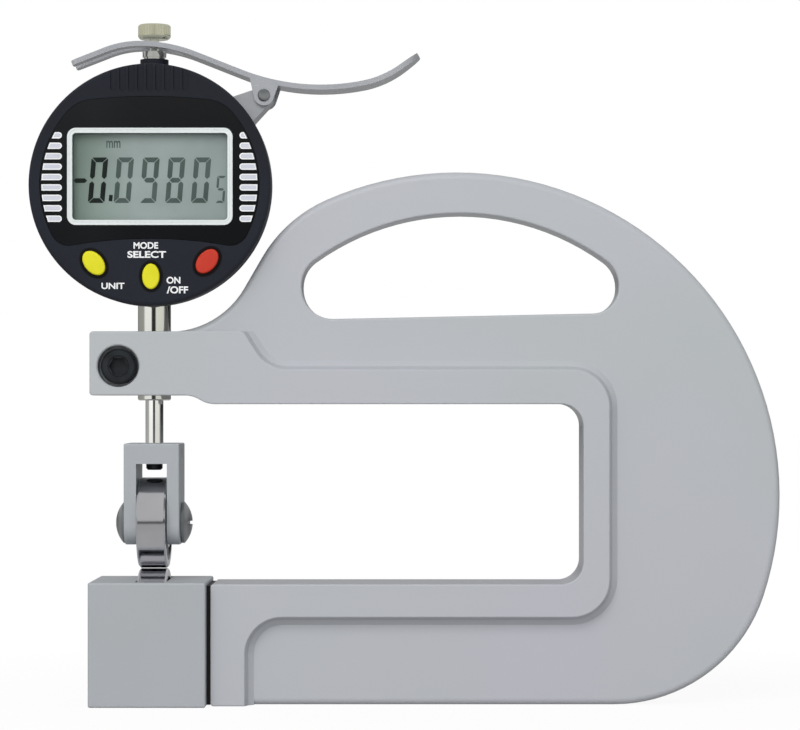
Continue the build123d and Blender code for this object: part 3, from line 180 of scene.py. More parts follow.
# The camera and polished metal see a floor that glows; all other light meets its matt paint
seen = put(
    tree,
    "ShaderNodeMath",
    {0: path.outputs["Is Camera Ray"], 1: path.outputs["Is Glossy Ray"]},
    operation="MAXIMUM",
)
paint = put(
    tree,
    "ShaderNodeMix",
    {0: seen.outputs[0], 6: shade(FLOOR_PAINT), 7: shade("#ffffff")},
    data_type="RGBA",
)
matt = put(tree, "ShaderNodeBsdfDiffuse", {"Color": paint.outputs[2]})
shine = put(
    tree,
    "ShaderNodeMix",
    {0: path.outputs["Is Camera Ray"], 6: shade(FLOOR_MIRRORED), 7: shade("#ffffff")},
    data_type="RGBA",
)
glow = put(tree, "ShaderNodeEmission", {"Color": shine.outputs[2], "Strength": 1.0})
place = put(tree, "ShaderNodeTexCoord").outputs["Object"]
centred = put(
    tree,
    "ShaderNodeVectorMath",
    {0: place, 1: ((cad_low.x + cad_high.x) / 2, 0, 0)},
    operation="SUBTRACT",
)
away = put(tree, "ShaderNodeVectorMath", {0: centred.outputs[0]}, operation="LENGTH")
share = put(
    tree,
    "ShaderNodeMapRange",
    {"Value": away.outputs["Value"], "From Min": NEAR, "From Max": FAR, "To Min": GLOW_NEAR},
)
shown = put(
    tree, "ShaderNodeMath", {0: seen.outputs[0], 1: share.outputs[0]}, operation="MULTIPLY"
)
floor_mix = put(
    tree, "ShaderNodeMixShader", {0: shown.outputs[0], 1: matt.outputs[0], 2: glow.outputs[0]}
)
close(floor_paint, tree, floor_mix)
floor.data.materials.append(floor_paint)

# %% Light the studio
# A direction is told by its shares along X, Y and Z: 1 for straight along, 0 for straight across
WORLD_LIGHT = 0.62
SIDE_LIGHT = 0.42  # share of the world's light that comes from the sides, above and below
FULL_LIGHT = 0.8  # share along Y from which the world's light is full
STRIP_MIDDLE = 0.03  # share along Z at which polished metal sees the walls
STRIP_EDGE = 0.035  # it sees them as far as this above and below
SKY_EDGE = 0.08  # and only the ceiling from here on
DARK_FROM = 0.1  # share along Y from which the room turns dark behind the gauge
DARK_FULL = 0.45
BACKGROUND = "#303030"

# Each lamp: its place and size in metres, and its power in watts
LAMPS = {
    "key_lamp": ((-0.3, -1.2, 0.95), 0.9, 12.3),
    "fill_lamp": ((0.15, -1.4, 0.25), 0.6, 3.0),
}

world = bpy.data.worlds.new("studio")
bpy.context.scene.world = world
world.use_nodes = True
tree = world.node_tree
tree.nodes.clear()
path = put(tree, "ShaderNodeLightPath")
direction = put(tree, "ShaderNodeTexCoord")
axes = put(tree, "ShaderNodeSeparateXYZ", {0: direction.outputs["Generated"]})
turn = put(
    tree, "ShaderNodeMath", {0: axes.outputs["X"], 1: axes.outputs["Y"]}, operation="ARCTAN2"
)
share = put(
    tree,
    "ShaderNodeMapRange",
    {"Value": turn.outputs[0], "From Min": -pi, "From Max": pi},
)
# Going round from behind the camera by the left wall, the background and the right wall
walls = put(
    tree,
    "ShaderNodeValToRGB",
    {0: share.outputs[0]},
    stops=(
        (0.00, "#2c2c2c"),
        (0.03, "#3a3a3a"),
        (0.05, "#ffffff"),
        (0.17, "#ffffff"),
        (0.21, "#a4a4a2"),
        (0.36, "#9c9c9a"),
        (0.44, "#606060"),
        (0.57, "#606060"),
        (0.64, "#10100e"),
        (0.77, "#0e0e0c"),
        (0.80, "#e2e2dc"),
        (0.95, "#e8e8e2"),
        (0.97, "#3a3a3a"),
        (1.00, "#2c2c2c"),
    ),
)
# From eye level to straight above; everything below eye level has the first tone
ceiling = put(
    tree,
    "ShaderNodeValToRGB",
    {0: axes.outputs["Z"]},
    stops=(
        (0.00, "#d8dada"),
        (0.12, "#f2f4f4"),
        (0.40, "#ececee"),
        (0.93, "#bebcc0"),
        (1.00, "#68666a"),
    ),
)
behind = put(
    tree,
    "ShaderNodeMapRange",
    {"Value": axes.outputs["Y"], "From Min": DARK_FROM, "From Max": DARK_FULL},
)
overhead = put(
    tree,
    "ShaderNodeMix",
    {0: behind.outputs[0], 6: ceiling.outputs[0], 7: shade(BACKGROUND)},
    data_type="RGBA",
)
level = put(
    tree, "ShaderNodeMath", {0: axes.outputs["Z"], 1: STRIP_MIDDLE}, operation="SUBTRACT"
)
height = put(tree, "ShaderNodeMath", {0: level.outputs[0]}, operation="ABSOLUTE")
raised = put(
    tree,
    "ShaderNodeMapRange",
    {"Value": height.outputs[0], "From Min": STRIP_EDGE, "From Max": SKY_EDGE},
)
# The walls show in a strip at eye level, and the ceiling's tones above and below it
room = put(
    tree,
    "ShaderNodeMix",
    {0: raised.outputs[0], 6: walls.outputs[0], 7: overhead.outputs[0]},
    data_type="RGBA",
)
# Matt surfaces get no room, only plain light, with less of it from the sides
facing = put(tree, "ShaderNodeMath", {0: axes.outputs["Y"]}, operation="ABSOLUTE")
daylight = put(
    tree,
    "ShaderNodeMapRange",
    {
        "Value": facing.outputs[0],
        "From Max": FULL_LIGHT,
        "To Min": WORLD_LIGHT * SIDE_LIGHT,
        "To Max": WORLD_LIGHT,
    },
)
plain = put(
    tree, "ShaderNodeBackground", {"Color": shade("#ffffff"), "Strength": daylight.outputs[0]}
)
mirrored = put(tree, "ShaderNodeBackground", {"Color": room.outputs[2], "Strength": 1.0})
white = put(tree, "ShaderNodeBackground", {"Color": shade("#ffffff"), "Strength": 1.0})
glossy = put(
    tree,
    "ShaderNodeMixShader",
    {0: path.outputs["Is Glossy Ray"], 1: plain.outputs[0], 2: mirrored.outputs[0]},
)
# What the camera sees past the gauge, or through its window, is plain white
straight = put(
    tree,
    "ShaderNodeMath",
    {0: path.outputs["Is Camera Ray"], 1: path.outputs["Is Transmission Ray"]},
    operation="MAXIMUM",
)
backdrop = put(
    tree, "ShaderNodeMixShader", {0: straight.outputs[0], 1: glossy.outputs[0], 2: white.outputs[0]}
)
put(tree, "ShaderNodeOutputWorld", {"Surface": backdrop.outputs[0]})


def lamp(name, target, place, size, power):
    """A square soft lamp that faces its target; polished metal mirrors the walls and not the lamp."""
    data = bpy.data.lights.new(name, "AREA")
    data.size = size
    data.energy = power
    made = bpy.data.objects.new(name, data)
    bpy.context.scene.collection.objects.link(made)
    made.location = place
    made.rotation_euler = (Vector(target) - Vector(place)).to_track_quat("-Z", "Y").to_euler()
    made.visible_glossy = False


middle = (cad_low + cad_high) / 2
for name, row in LAMPS.items():
    lamp(name, middle, *row)

# %% [markdown]
# ## Finishes
# Each finish is named for the real material and how its surface was made. Patterns are scaled from sizes
# in millimetres: a noise of scale 1 / size repeats about once in that size.

# %% Scales and a base surface
CLOUDS = (0.3, 0.7)  # values of a noise at which a finish has its first and its second tone
RELIEF = 0.5  # strength of a finish's bump
WAVE = 20  # radians that a wave texture of scale 1 turns through in one metre


def per(size_mm):
    """Texture scale of a pattern that repeats about once in this many millimetres."""
    return 1 / (size_mm * MM)


def surface(name, tones, patch, grain, depth, roughness, spread=0.04, stretch=(1, 1, 1), **sockets):
    """A material whose colour drifts between two tones over patches, and whose relief has a fine grain.

    Patch, grain and depth are in millimetres. Roughness varies by the spread; stretch draws the grain out.
    """
    material, tree = blank(name)
    place = put(tree, "ShaderNodeTexCoord").outputs["Object"]
    drawn = put(tree, "ShaderNodeMapping", {"Vector": place, "Scale": stretch}).outputs[0]
    cloud = put(tree, "ShaderNodeTexNoise", {"Vector": place, "Scale": per(patch), "Detail": 2.0})
    tone = put(
        tree, "ShaderNodeValToRGB", {0: cloud.outputs[0]}, stops=tuple(zip(CLOUDS, tones))
    )
    fine = put(tree, "ShaderNodeTexNoise", {"Vector": drawn, "Scale": per(grain), "Detail": 3.0})
    rough = put(
        tree,
        "ShaderNodeMapRange",
        {"Value": fine.outputs[0], "To Min": roughness - spread, "To Max": roughness + spread},
    )
    bump = put(
        tree,
        "ShaderNodeBump",
        {"Strength": RELIEF, "Distance": depth * MM, "Height": fine.outputs[0]},
    )
    shader = put(
        tree,
        "ShaderNodeBsdfPrincipled",
        {
            "Base Color": tone.outputs[0],
            "Roughness": rough.outputs[0],
            "Normal": bump.outputs[0],
            **sockets,
        },
    )
    return close(material, tree, shader)


finishes = {}
print("a 0.8 mm grain has scale", round(per(0.8)))

# %% [markdown]
# ## Paint and plating of the heavy parts
# The casting is sprayed with satin silver enamel, which dries with a faint orange peel. The anvil block,
# the clevis and the lever's bracket are steel with a matt plated skin, ground first, so their grain runs
# one way.

# %% Finish the casting, block, clevis and bracket
finishes["frame_enamel"] = surface(
    "satin_silver_enamel",
    ("#babfc1", "#bfc0c8"),
    patch=60,
    grain=0.9,
    depth=0.01,
    roughness=0.42,
    **{"Metallic": 0.1, "Coat Weight": 0.3, "Coat Roughness": 0.12},
)
finishes["ground_steel"] = surface(
    "matt_plated_ground_steel",
    ("#b4b9bc", "#b8bcc2"),
    patch=30,
    grain=0.5,
    depth=0.008,
    roughness=0.4,
    stretch=(0.15, 1, 1),
    Metallic=0.2,
)
finishes["clevis_steel"] = surface(
    "satin_plated_steel",
    ("#b3b9bb", "#b7bbc1"),
    patch=12,
    grain=0.4,
    depth=0.006,
    roughness=0.36,
    stretch=(1, 1, 0.2),
    Metallic=0.25,
)
finishes["bracket_steel"] = surface(
    "plated_sheet_steel",
    ("#abaeb2", "#b3b5ba"),
    patch=10,
    grain=0.3,
    depth=0.005,
    roughness=0.36,
    Metallic=0.4,
)
finishes["lever_steel"] = surface(
    "polished_plated_sheet",
    ("#b0b3b8", "#b9bbc0"),
    patch=14,
    grain=0.35,
    depth=0.0015,
    roughness=0.26,
    stretch=(0.2, 1, 1),
    Metallic=0.35,
)

# %% [markdown]
# ## Bright and turned metal
# The spindle is ground and chromed, the stem and the knob are nickel plated, and the bearings are polished
# chrome steel. A polished metal shows the room more than its own colour, so its roughness is low.

# %% Finish the round metal parts
finishes["bright_nickel"] = surface(
    "bright_nickel_plate",
    ("#dcddd6", "#e6e6e0"),
    patch=8,
    grain=0.25,
    depth=0.001,
    roughness=0.07,
    spread=0.02,
    stretch=(1, 1, 4),
    Metallic=1.0,
)
finishes["hard_chrome"] = surface(
    "ground_hard_chrome",
    ("#f2f3f0", "#fafaf8"),
    patch=6,
    grain=0.2,
    depth=0.0008,
    roughness=0.06,
    spread=0.02,
    stretch=(1, 1, 4),
    Metallic=1.0,
)
finishes["knob_nickel"] = surface(
    "aged_nickel_plate",
    ("#eeeed4", "#f4f4de"),
    patch=5,
    grain=0.25,
    depth=0.002,
    roughness=0.16,
    Metallic=1.0,
)
finishes["bearing_steel"] = surface(
    "polished_bearing_steel",
    ("#dedee2", "#e6e6ea"),
    patch=10,
    grain=0.2,
    depth=0.0003,
    roughness=0.14,
    spread=0.015,
    stretch=(0.3, 1, 1),
    Metallic=1.0,
)
finishes["cell_steel"] = surface(
    "drawn_nickelled_steel",
    ("#bdbdb8", "#c8c8c4"),
    patch=10,
    grain=0.3,
    depth=0.003,
    roughness=0.3,
    Metallic=1.0,
)
finishes["spring_steel"] = surface(
    "drawn_spring_wire",
    ("#8b8b8f", "#96969a"),
    patch=4,
    grain=0.2,
    depth=0.002,
    roughness=0.3,
    Metallic=1.0,
)
finishes["black_oxide"] = surface(
    "blackened_steel",
    ("#26292c", "#34383c"),
    patch=3,
    grain=0.25,
    depth=0.012,
    roughness=0.36,
    Metallic=0.5,
)
RING_STEP = 0.45  # millimetres of radius in which the rings turn through one radian
RING_RELIEF = 0.4
RING_DEPTH = 0.02  # millimetres


def turned_steel(name, centre):
    """Hardened steel with the rings that a lathe leaves round an axis along X through the centre."""
    material, tree = blank(name)
    place = put(tree, "ShaderNodeTexCoord").outputs["Object"]
    centred = put(tree, "ShaderNodeMapping", {"Vector": place, "Location": -centre}).outputs[0]
    rings = put(
        tree,
        "ShaderNodeTexWave",
        {"Vector": centred, "Scale": per(RING_STEP) / WAVE, "Distortion": 0.6, "Detail": 2.0},
        wave_type="RINGS",
        rings_direction="X",
    )
    tone = put(
        tree,
        "ShaderNodeValToRGB",
        {0: rings.outputs[0]},
        stops=((0.0, "#84888a"), (1.0, "#a2a5a6")),
    )
    bump = put(
        tree,
        "ShaderNodeBump",
        {"Strength": RING_RELIEF, "Distance": RING_DEPTH * MM, "Height": rings.outputs[0]},
    )
    shader = put(
        tree,
        "ShaderNodeBsdfPrincipled",
        {
            "Base Color": tone.outputs[0],
            "Roughness": 0.34,
            "Metallic": 0.8,
            "Normal": bump.outputs[0],
        },
    )
    return close(material, tree, shader)


axle_low, axle_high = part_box("upper_axle_screw")
finishes["steel_pin"] = turned_steel("turned_hardened_steel", (axle_low + axle_high) / 2)

# %% [markdown]
# ## Brass, bronze and plated contacts
# Inside the indicator and the bearings are copper alloys: pressed brass cages, sintered bronze bushes,
# whose pores show as specks, and gilt battery contacts.

# %% Finish the copper alloys
finishes["cage_brass"] = surface(
    "pressed_brass",
    ("#b8964c", "#c8a65c"),
    patch=5,
    grain=0.3,
    depth=0.004,
    roughness=0.3,
    Metallic=1.0,
)
finishes["bush_bronze"] = surface(
    "sintered_bronze",
    ("#8d6a3c", "#a5804e"),
    patch=0.6,
    grain=0.15,
    depth=0.01,
    roughness=0.45,
    Metallic=0.9,
)
finishes["contact_metal"] = surface(
    "gilt_spring_contact",
    ("#cba85a", "#d8b96c"),
    patch=4,
    grain=0.3,
    depth=0.002,
    roughness=0.28,
    Metallic=1.0,
)

# %% [markdown]
# ## Mouldings
# The case is moulded in dark satin ABS with a fine spark-eroded grain. The display's frame and the buttons
# are glossy ABS in plain colours. The shim beside the anvil block is near black: its colour is painted
# shade, the shade in the gap between block and frame. Inside the case are a silicone pad under the buttons
# and the layered rubber strips that connect the display.

# %% Finish the mouldings
finishes["case_plastic"] = surface(
    "moulded_dark_abs",
    ("#181b23", "#1e212c"),
    patch=20,
    grain=0.22,
    depth=0.02,
    roughness=0.5,
    **{"Specular IOR Level": 0.35},
)
finishes["white_plastic"] = surface(
    "glossy_white_abs", ("#dde4e3", "#e4eae9"), patch=12, grain=0.8, depth=0.003, roughness=0.28
)
finishes["button_yellow"] = surface(
    "glossy_yellow_abs", ("#dfda10", "#e6e020"), patch=4, grain=0.5, depth=0.004, roughness=0.32
)
finishes["button_red"] = surface(
    "glossy_red_abs", ("#c02c14", "#c83620"), patch=4, grain=0.5, depth=0.004, roughness=0.32
)
# Near black: the shim's colour is painted shade, the shade in the gap between the anvil block and the frame
finishes["black_shim"] = surface(
    "near_black_gap_shade", ("#030304", "#0a0a0b"), patch=5, grain=0.3, depth=0.01, roughness=0.6
)
finishes["pad_rubber"] = surface(
    "moulded_grey_silicone", ("#57585a", "#606163"), patch=6, grain=0.3, depth=0.01, roughness=0.6
)
finishes["contact_rubber"] = surface(
    "layered_contact_rubber",
    ("#b87858", "#c98c68"),
    patch=0.3,
    grain=0.2,
    depth=0.01,
    roughness=0.6,
    stretch=(1, 1, 8),
)

# %% [markdown]
# ## Display, glass and boards
# The window is clear acrylic: it lets the display through and adds only its gloss, so it is drawn as a
# thin film. The liquid crystal panel behind it is a matt grey-green, with painted shade on its left edge
# and a painted lighter stretch a little left of its middle.
# The face plate round it is polished black acrylic, with a painted sheen, a lighter band, over its left
# half.

# %% Finish the display and the boards
finishes["board_green"] = surface(
    "lacquered_circuit_board", ("#14502c", "#1a6236"), patch=3, grain=0.4, depth=0.01, roughness=0.3
)
finishes["scale_glass"] = surface(
    "etched_scale_laminate",
    ("#b79a55", "#c7ab66"),
    patch=0.8,
    grain=0.5,
    depth=0.003,
    roughness=0.25,
    stretch=(0.1, 1, 1),
)
finishes["clear_lens"] = surface(
    "clear_acrylic_window",
    ("#1a2220", "#222a28"),
    patch=20,
    grain=10.0,
    depth=0.0005,
    roughness=0.06,
    spread=0.01,
    Alpha=0.05,
)
HAZE = ("#f2f2f2", "#ffffff")
HAZE_SIZE = 9  # millimetres
# Tones of painted light and shade, from the left edge of a sheet, at 0, to its right edge, at 1
# The panel's tones: painted shade on its left edge and a painted lighter stretch a little left of its
# middle
PANEL_SHADE_TONES = ((0.0, "#6d8177"), (0.16, "#8fa098"), (0.4, "#a8b6b3"), (1.0, "#9baaa6"))
# The plate's tones: a painted sheen, a lighter band over its left half, on black that darkens to the right
PLATE_SHEEN_TONES = ((0.0, "#090b0d"), (0.25, "#101316"), (0.42, "#090b0e"), (1.0, "#050709"))


def painted_light_across(name, node, tones, roughness):
    """A smooth sheet whose tone changes from its left to its right, under a faint haze; the tones are
    painted light and shade.
    """
    material, tree = blank(name)
    place = put(tree, "ShaderNodeTexCoord").outputs["Object"]
    axes = put(tree, "ShaderNodeSeparateXYZ", {0: place})
    low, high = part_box(node)
    share = put(
        tree, "ShaderNodeMapRange", {"Value": axes.outputs["X"], "From Min": low.x, "From Max": high.x}
    )
    tone = put(tree, "ShaderNodeValToRGB", {0: share.outputs[0]}, stops=tones)
    haze = put(tree, "ShaderNodeTexNoise", {"Vector": place, "Scale": per(HAZE_SIZE), "Detail": 2.0})
    soft = put(tree, "ShaderNodeValToRGB", {0: haze.outputs[0]}, stops=tuple(zip(CLOUDS, HAZE)))
    mixed = put(
        tree,
        "ShaderNodeMix",
        {0: 1.0, 6: tone.outputs[0], 7: soft.outputs[0]},
        data_type="RGBA",
        blend_type="MULTIPLY",
    )
    shader = put(
        tree, "ShaderNodeBsdfPrincipled", {"Base Color": mixed.outputs[2], "Roughness": roughness}
    )
    return close(material, tree, shader)


# The panel gets painted shade on its left edge, the plate a painted sheen on its left half
finishes["display_glass"] = painted_light_across(
    "liquid_crystal_panel_painted_shade", "lcd_panel", PANEL_SHADE_TONES, roughness=0.5
)
finishes["gloss_black"] = painted_light_across(
    "black_acrylic_painted_sheen", "face_plate", PLATE_SHEEN_TONES, roughness=0.16
)
print("finishes so far:", len(finishes))

# %% Put each finish on its nodes
OWN_FINISH = {"lift_knob": "knob_nickel", "spindle": "hard_chrome"}  # plated apart from the stem
for row in frame["record"]["subparts"]:
    slots = frame["nodes"][row["node"]].data.materials
    slots.clear()
    slots.append(finishes[OWN_FINISH.get(row["node"], row["material_slot"])])

# %% [markdown]
# ## Ways to shape a new piece
# A new piece starts from a primitive and is shaped in edit mode. An operator acts on all that is selected,
# so everything is deselected first and the faces are then chosen by their place.

# %% Modelling helpers


def take(piece):
    """Makes this piece the only one selected."""
    bpy.ops.object.select_all(action="DESELECT")
    piece.select_set(True)
    bpy.context.view_layer.objects.active = piece


def upright_plane():
    """A new square of one millimetre that faces the viewer, ready to be shaped."""
    bpy.ops.object.select_all(action="DESELECT")
    bpy.ops.mesh.primitive_plane_add(size=MM, rotation=(radians(90), 0, 0))
    bpy.ops.object.transform_apply(location=True, rotation=True, scale=True)
    return bpy.context.object


def edit(piece, chosen, kind="faces"):
    """Opens a piece in edit mode with only the faces, edges or verts selected that pass the test."""
    take(piece)
    bpy.ops.object.mode_set(mode="EDIT")
    bpy.ops.mesh.select_mode(type={"faces": "FACE", "edges": "EDGE", "verts": "VERT"}[kind])
    bpy.ops.mesh.select_all(action="DESELECT")
    mesh = bmesh.from_edit_mesh(piece.data)
    for part in getattr(mesh, kind):
        spots = [v.co for v in part.verts] if kind != "verts" else [part.co]
        part.select_set(chosen(sum(spots, Vector()) / len(spots)))
    mesh.select_flush_mode()
    bmesh.update_edit_mesh(piece.data)


def leave():
    """Back to object mode."""
    bpy.ops.object.mode_set(mode="OBJECT")


def copy_of(piece, name, matrix):
    """A copy with its own mesh, placed by a matrix that goes into the mesh."""
    made = bpy.data.objects.new(name, piece.data.copy())
    bpy.context.scene.collection.objects.link(made)
    made.data.transform(matrix)
    return made


def join(pieces, name):
    """Joins pieces into one under a new name."""
    bpy.ops.object.select_all(action="DESELECT")
    for piece in pieces:
        piece.select_set(True)
    bpy.context.view_layer.objects.active = pieces[0]
    if len(pieces) > 1:
        bpy.ops.object.join()
    made = bpy.context.object
    made.name = name
    made.data.name = name
    return made


def fix(piece, body, materials):
    """Gives a finished piece its body and the materials that it doesn't have yet."""
    for material in materials:
        piece.data.materials.append(material)
    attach(piece, body)
    print(piece.name, "has", len(piece.data.polygons), "faces")


bezel_low, bezel_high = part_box("case_front")
dial = Vector(((bezel_low.x + bezel_high.x) / 2, bezel_low.y, (bezel_low.z + bezel_high.z) / 2))
print("the dial's centre is at", [round(x / MM, 2) for x in dial])

# %% [markdown]
# ## Digits on the display
# A liquid crystal digit has seven bars with a slim gap between them. The six outer bars are mitred at the
# corners like a picture frame, and end in points half way up. The middle bar has a point at both ends.
# Each kind of bar is modelled once from a plane, and each digit is made of copies that lean a little. The
# first digit is driven hard and looks black, the others are paler.

# %% Model one bar
CLIPPED = 0.24  # the corners of a digit are cut off, by this share of a bar's width
FILM = 0.03  # thickness of displayed pieces, in millimetres as all sizes here
NEARBY = 0.001  # a point that is this near a place is taken to be there
PANEL_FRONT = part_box("lcd_panel")[0].y / MM


def on_panel(x, z):
    """A place on the front of the display panel, from the dial's middle."""
    return Vector((dial.x, PANEL_FRONT * MM, dial.z)) + Vector((x, 0, z)) * MM


def slab(piece, depth):
    """Gives a flat piece that faces the viewer its thickness, towards the viewer."""
    edit(piece, lambda spot: True)
    bpy.ops.mesh.extrude_region_move(TRANSFORM_OT_translate={"value": (0, -depth * MM, 0)})
    bpy.ops.mesh.select_all(action="SELECT")
    bpy.ops.mesh.normals_make_consistent(inside=False)
    leave()


def bar(length, width, left_end, right_end):
    """A flat bar along X, centred, with square, pointed or mitred ends, mitres with the long side up."""
    piece = upright_plane()
    for vertex in piece.data.vertices:
        side, end = (1, right_end) if vertex.co.x > 0 else (-1, left_end)
        low = vertex.co.z < 0
        cut = {"square": 0, "point": width / 2, "mitre": width * low}[end]
        vertex.co = Vector((side * (length / 2 - cut), 0, -width / 2 if low else width / 2)) * MM
    for side, end in ((1, right_end), (-1, left_end)):
        if end == "point":
            edge = length / 2 - width / 2
            edit(piece, lambda spot: abs(spot.x - side * edge * MM) < NEARBY * MM, "edges")
            bpy.ops.mesh.extrude_edges_move(
                TRANSFORM_OT_translate={"value": (side * width / 2 * MM, 0, 0)}
            )
            bpy.ops.mesh.merge(type="CENTER")
            leave()
        if end == "mitre":
            corner = Vector((side * length / 2, 0, width / 2)) * MM
            edit(piece, lambda spot: (spot - corner).length < NEARBY * MM, "verts")
            bpy.ops.mesh.bevel(offset=width * CLIPPED * MM, segments=1, affect="VERTICES")
            leave()
    slab(piece, FILM)
    return piece


# %% Lay out the bars of a digit
LEAN = 0.084  # sideways per upward step
DIGIT_SIZE = (4.0, 10.9, 1.16)  # width, height and width of a bar
SMALL_SIZE = (2.2, 6.5, 0.56)
DIGIT_PITCH = 6.17
BAR_GAP = 0.15  # between two mitres, straight across
WAIST = 0.5  # gap half way up
FIRST_LEFT = -14.97  # left edge of the first digit's foot
SMALL_LEFT = 15.52
FOOT = -4.3  # height of the digits' feet, from the dial's middle

# Each bar: kind, middle as a share of the digit's width, half of the height it belongs to, and turn
BARS = {
    "top": ("cap", 0.5, 1, 0),
    "foot": ("cap", 0.5, -1, 180),
    "middle": ("middle", 0.5, 0, 0),
    "upper_left": ("rising", 0.0, 1, -90),
    "lower_left": ("falling", 0.0, -1, -90),
    "upper_right": ("falling", 1.0, 1, 90),
    "lower_right": ("rising", 1.0, -1, 90),
}
RING = ["top", "foot", "upper_left", "upper_right", "lower_left", "lower_right"]
SHOWN = {
    "0": RING,
    "8": list(BARS),
    "9": ["top", "middle", "foot", "upper_left", "upper_right", "lower_right"],
    "5": ["top", "middle", "foot", "upper_left", "lower_right"],
}


def digit(figure, left, size):
    """The bars of one figure whose foot starts at left, as a list of pieces."""
    width, height, thick = size
    trim = BAR_GAP * sqrt(2)
    upright = height / 2 - trim / 2 - WAIST / 2
    kinds = {
        "cap": bar(width - trim, thick, "mitre", "mitre"),
        "middle": bar(width - thick - BAR_GAP, thick, "point", "point"),
        "rising": bar(upright, thick, "point", "mitre"),
        "falling": bar(upright, thick, "mitre", "point"),
    }
    lean = Matrix.Identity(4)
    lean[0][2] = LEAN
    made = []
    for name in SHOWN[figure]:
        kind, share, half, turn = BARS[name]
        if kind in ("rising", "falling"):
            x = thick / 2 + share * (width - thick)
            z = height / 2 + half * (WAIST / 2 + upright / 2)
        else:
            x = width / 2
            z = height / 2 + half * (height - thick) / 2
        inside = Matrix.Translation(Vector((x, 0, z)) * MM)
        turned = Matrix.Rotation(radians(turn), 4, "Y")
        out = Matrix.Translation(on_panel(left, FOOT))
        made.append(copy_of(kinds[kind], "bar", out @ lean @ inside @ turned))
    for model in kinds.values():
        bpy.data.objects.remove(model)
    return made


# %% Show the reading
FIRST_FIGURE = "0"
PALE_FIGURES = "0980"
SMALL_FIGURE = "5"
MINUS_SIZE = (3.25, 1.1)
MINUS_PLACE = (-16.74, 1.05)
POINT_SIZE = (1.54, 0.87)
POINT_PLACE = (-9.47, -3.13)
POINT_TURN = 94.8  # degrees: upright, with the lean of the digits

strong = digit(FIRST_FIGURE, FIRST_LEFT, DIGIT_SIZE)
minus = bar(*MINUS_SIZE, "point", "point")
minus.data.transform(Matrix.Translation(on_panel(*MINUS_PLACE)))
point = bar(*POINT_SIZE, "square", "square")
turned = Matrix.Rotation(radians(POINT_TURN), 4, "Y")
point.data.transform(Matrix.Translation(on_panel(*POINT_PLACE)) @ turned)
strong_digits = join([*strong, minus, point], "display_first_digit")

pale = []
for place, figure in enumerate(PALE_FIGURES, start=1):
    pale += digit(figure, FIRST_LEFT + place * DIGIT_PITCH, DIGIT_SIZE)
pale += digit(SMALL_FIGURE, SMALL_LEFT, SMALL_SIZE)
pale_digits = join(pale, "display_digits")

dark_crystal = surface(
    "driven_liquid_crystal", ("#04120e", "#0a1c17"), patch=6, grain=0.5, depth=0.001, roughness=0.5
)
pale_crystal = surface(
    "half_driven_liquid_crystal",
    ("#44544f", "#566663"),
    patch=8,
    grain=0.5,
    depth=0.001,
    roughness=0.5,
)
fix(strong_digits, "root", [dark_crystal])
fix(pale_digits, "root", [pale_crystal])

# %% [markdown]
# ## Printed words
# The words by the buttons are screen printed in white: what such buttons do, in plain words. Each is set
# as text, turned into a mesh, scaled to the measured width and height, and laid on the face a hair proud
# of it. The unit on the display is set the same way.

# %% Set the words
PRINT_PROUD = 0.02
FACE_FRONT = bezel_low.y / MM

# Each word: its text, its middle from the dial's, its width and height, and how bold it is
LEGENDS = {
    "legend_mode": ("MODE", (-0.84, -14.6), (5.9, 1.6), 0.03),
    "legend_select": ("SELECT", (-0.64, -16.75), (9.2, 1.65), 0.03),
    "legend_unit": ("UNIT", (-8.7, -24.26), (5.5, 1.5), 0.025),
    "legend_on": ("ON", (5.75, -22.9), (3.3, 1.65), 0.03),
    "legend_off": ("/OFF", (6.7, -25.2), (5.1, 1.7), 0.03),
}
UNIT_MARK = ("mm", (-8.83, 9.75), (3.4, 1.7), 0.015)


def words(name, front, text, middle, size, bold):
    """Text as a thin mesh of this width and height, with its middle at a place on the dial.

    It is set one unit high and thick and is then scaled. Front is the Y of the face that it lies on.
    """
    bpy.ops.object.select_all(action="DESELECT")
    bpy.ops.object.text_add()
    piece = bpy.context.object
    piece.name = name
    piece.data.body = text
    piece.data.size = 1.0
    piece.data.offset = bold
    piece.data.extrude = 0.5
    bpy.ops.object.convert(target="MESH")
    piece = bpy.context.object
    spots = [v.co for v in piece.data.vertices]
    low = Vector((min(v.x for v in spots), min(v.y for v in spots), 0))
    high = Vector((max(v.x for v in spots), max(v.y for v in spots), 0))
    scale = Vector((size[0] / (high.x - low.x), size[1] / (high.y - low.y), PRINT_PROUD)) * MM
    fit = Matrix.Diagonal((*scale, 1)) @ Matrix.Translation(-(low + high) / 2)
    depth = (front - PRINT_PROUD / 2) * MM
    place = Vector((dial.x + middle[0] * MM, depth, dial.z + middle[1] * MM))
    piece.data.transform(Matrix.Translation(place) @ Matrix.Rotation(radians(90), 4, "X") @ fit)
    return piece


legends = join([words(name, FACE_FRONT, *row) for name, row in LEGENDS.items()], "button_legends")
white_ink = surface(
    "white_screen_print", ("#eceff0", "#f6f8f8"), patch=2, grain=0.15, depth=0.003, roughness=0.5
)
fix(legends, "root", [white_ink])
unit_mark = words("display_unit_mark", PANEL_FRONT, *UNIT_MARK)
fix(unit_mark, "root", [pale_crystal])

# %% [markdown]
# ## Stripes on the face plate
# Nine short bars run down each side of the plate. Each has a round inner end, and its outer end is cut
# along the plate's edge. A stripe is a plane whose outer corners are moved to the plate's circle and whose
# inner corners are bevelled round; its rim is then inset, for the white border round the lilac middle.

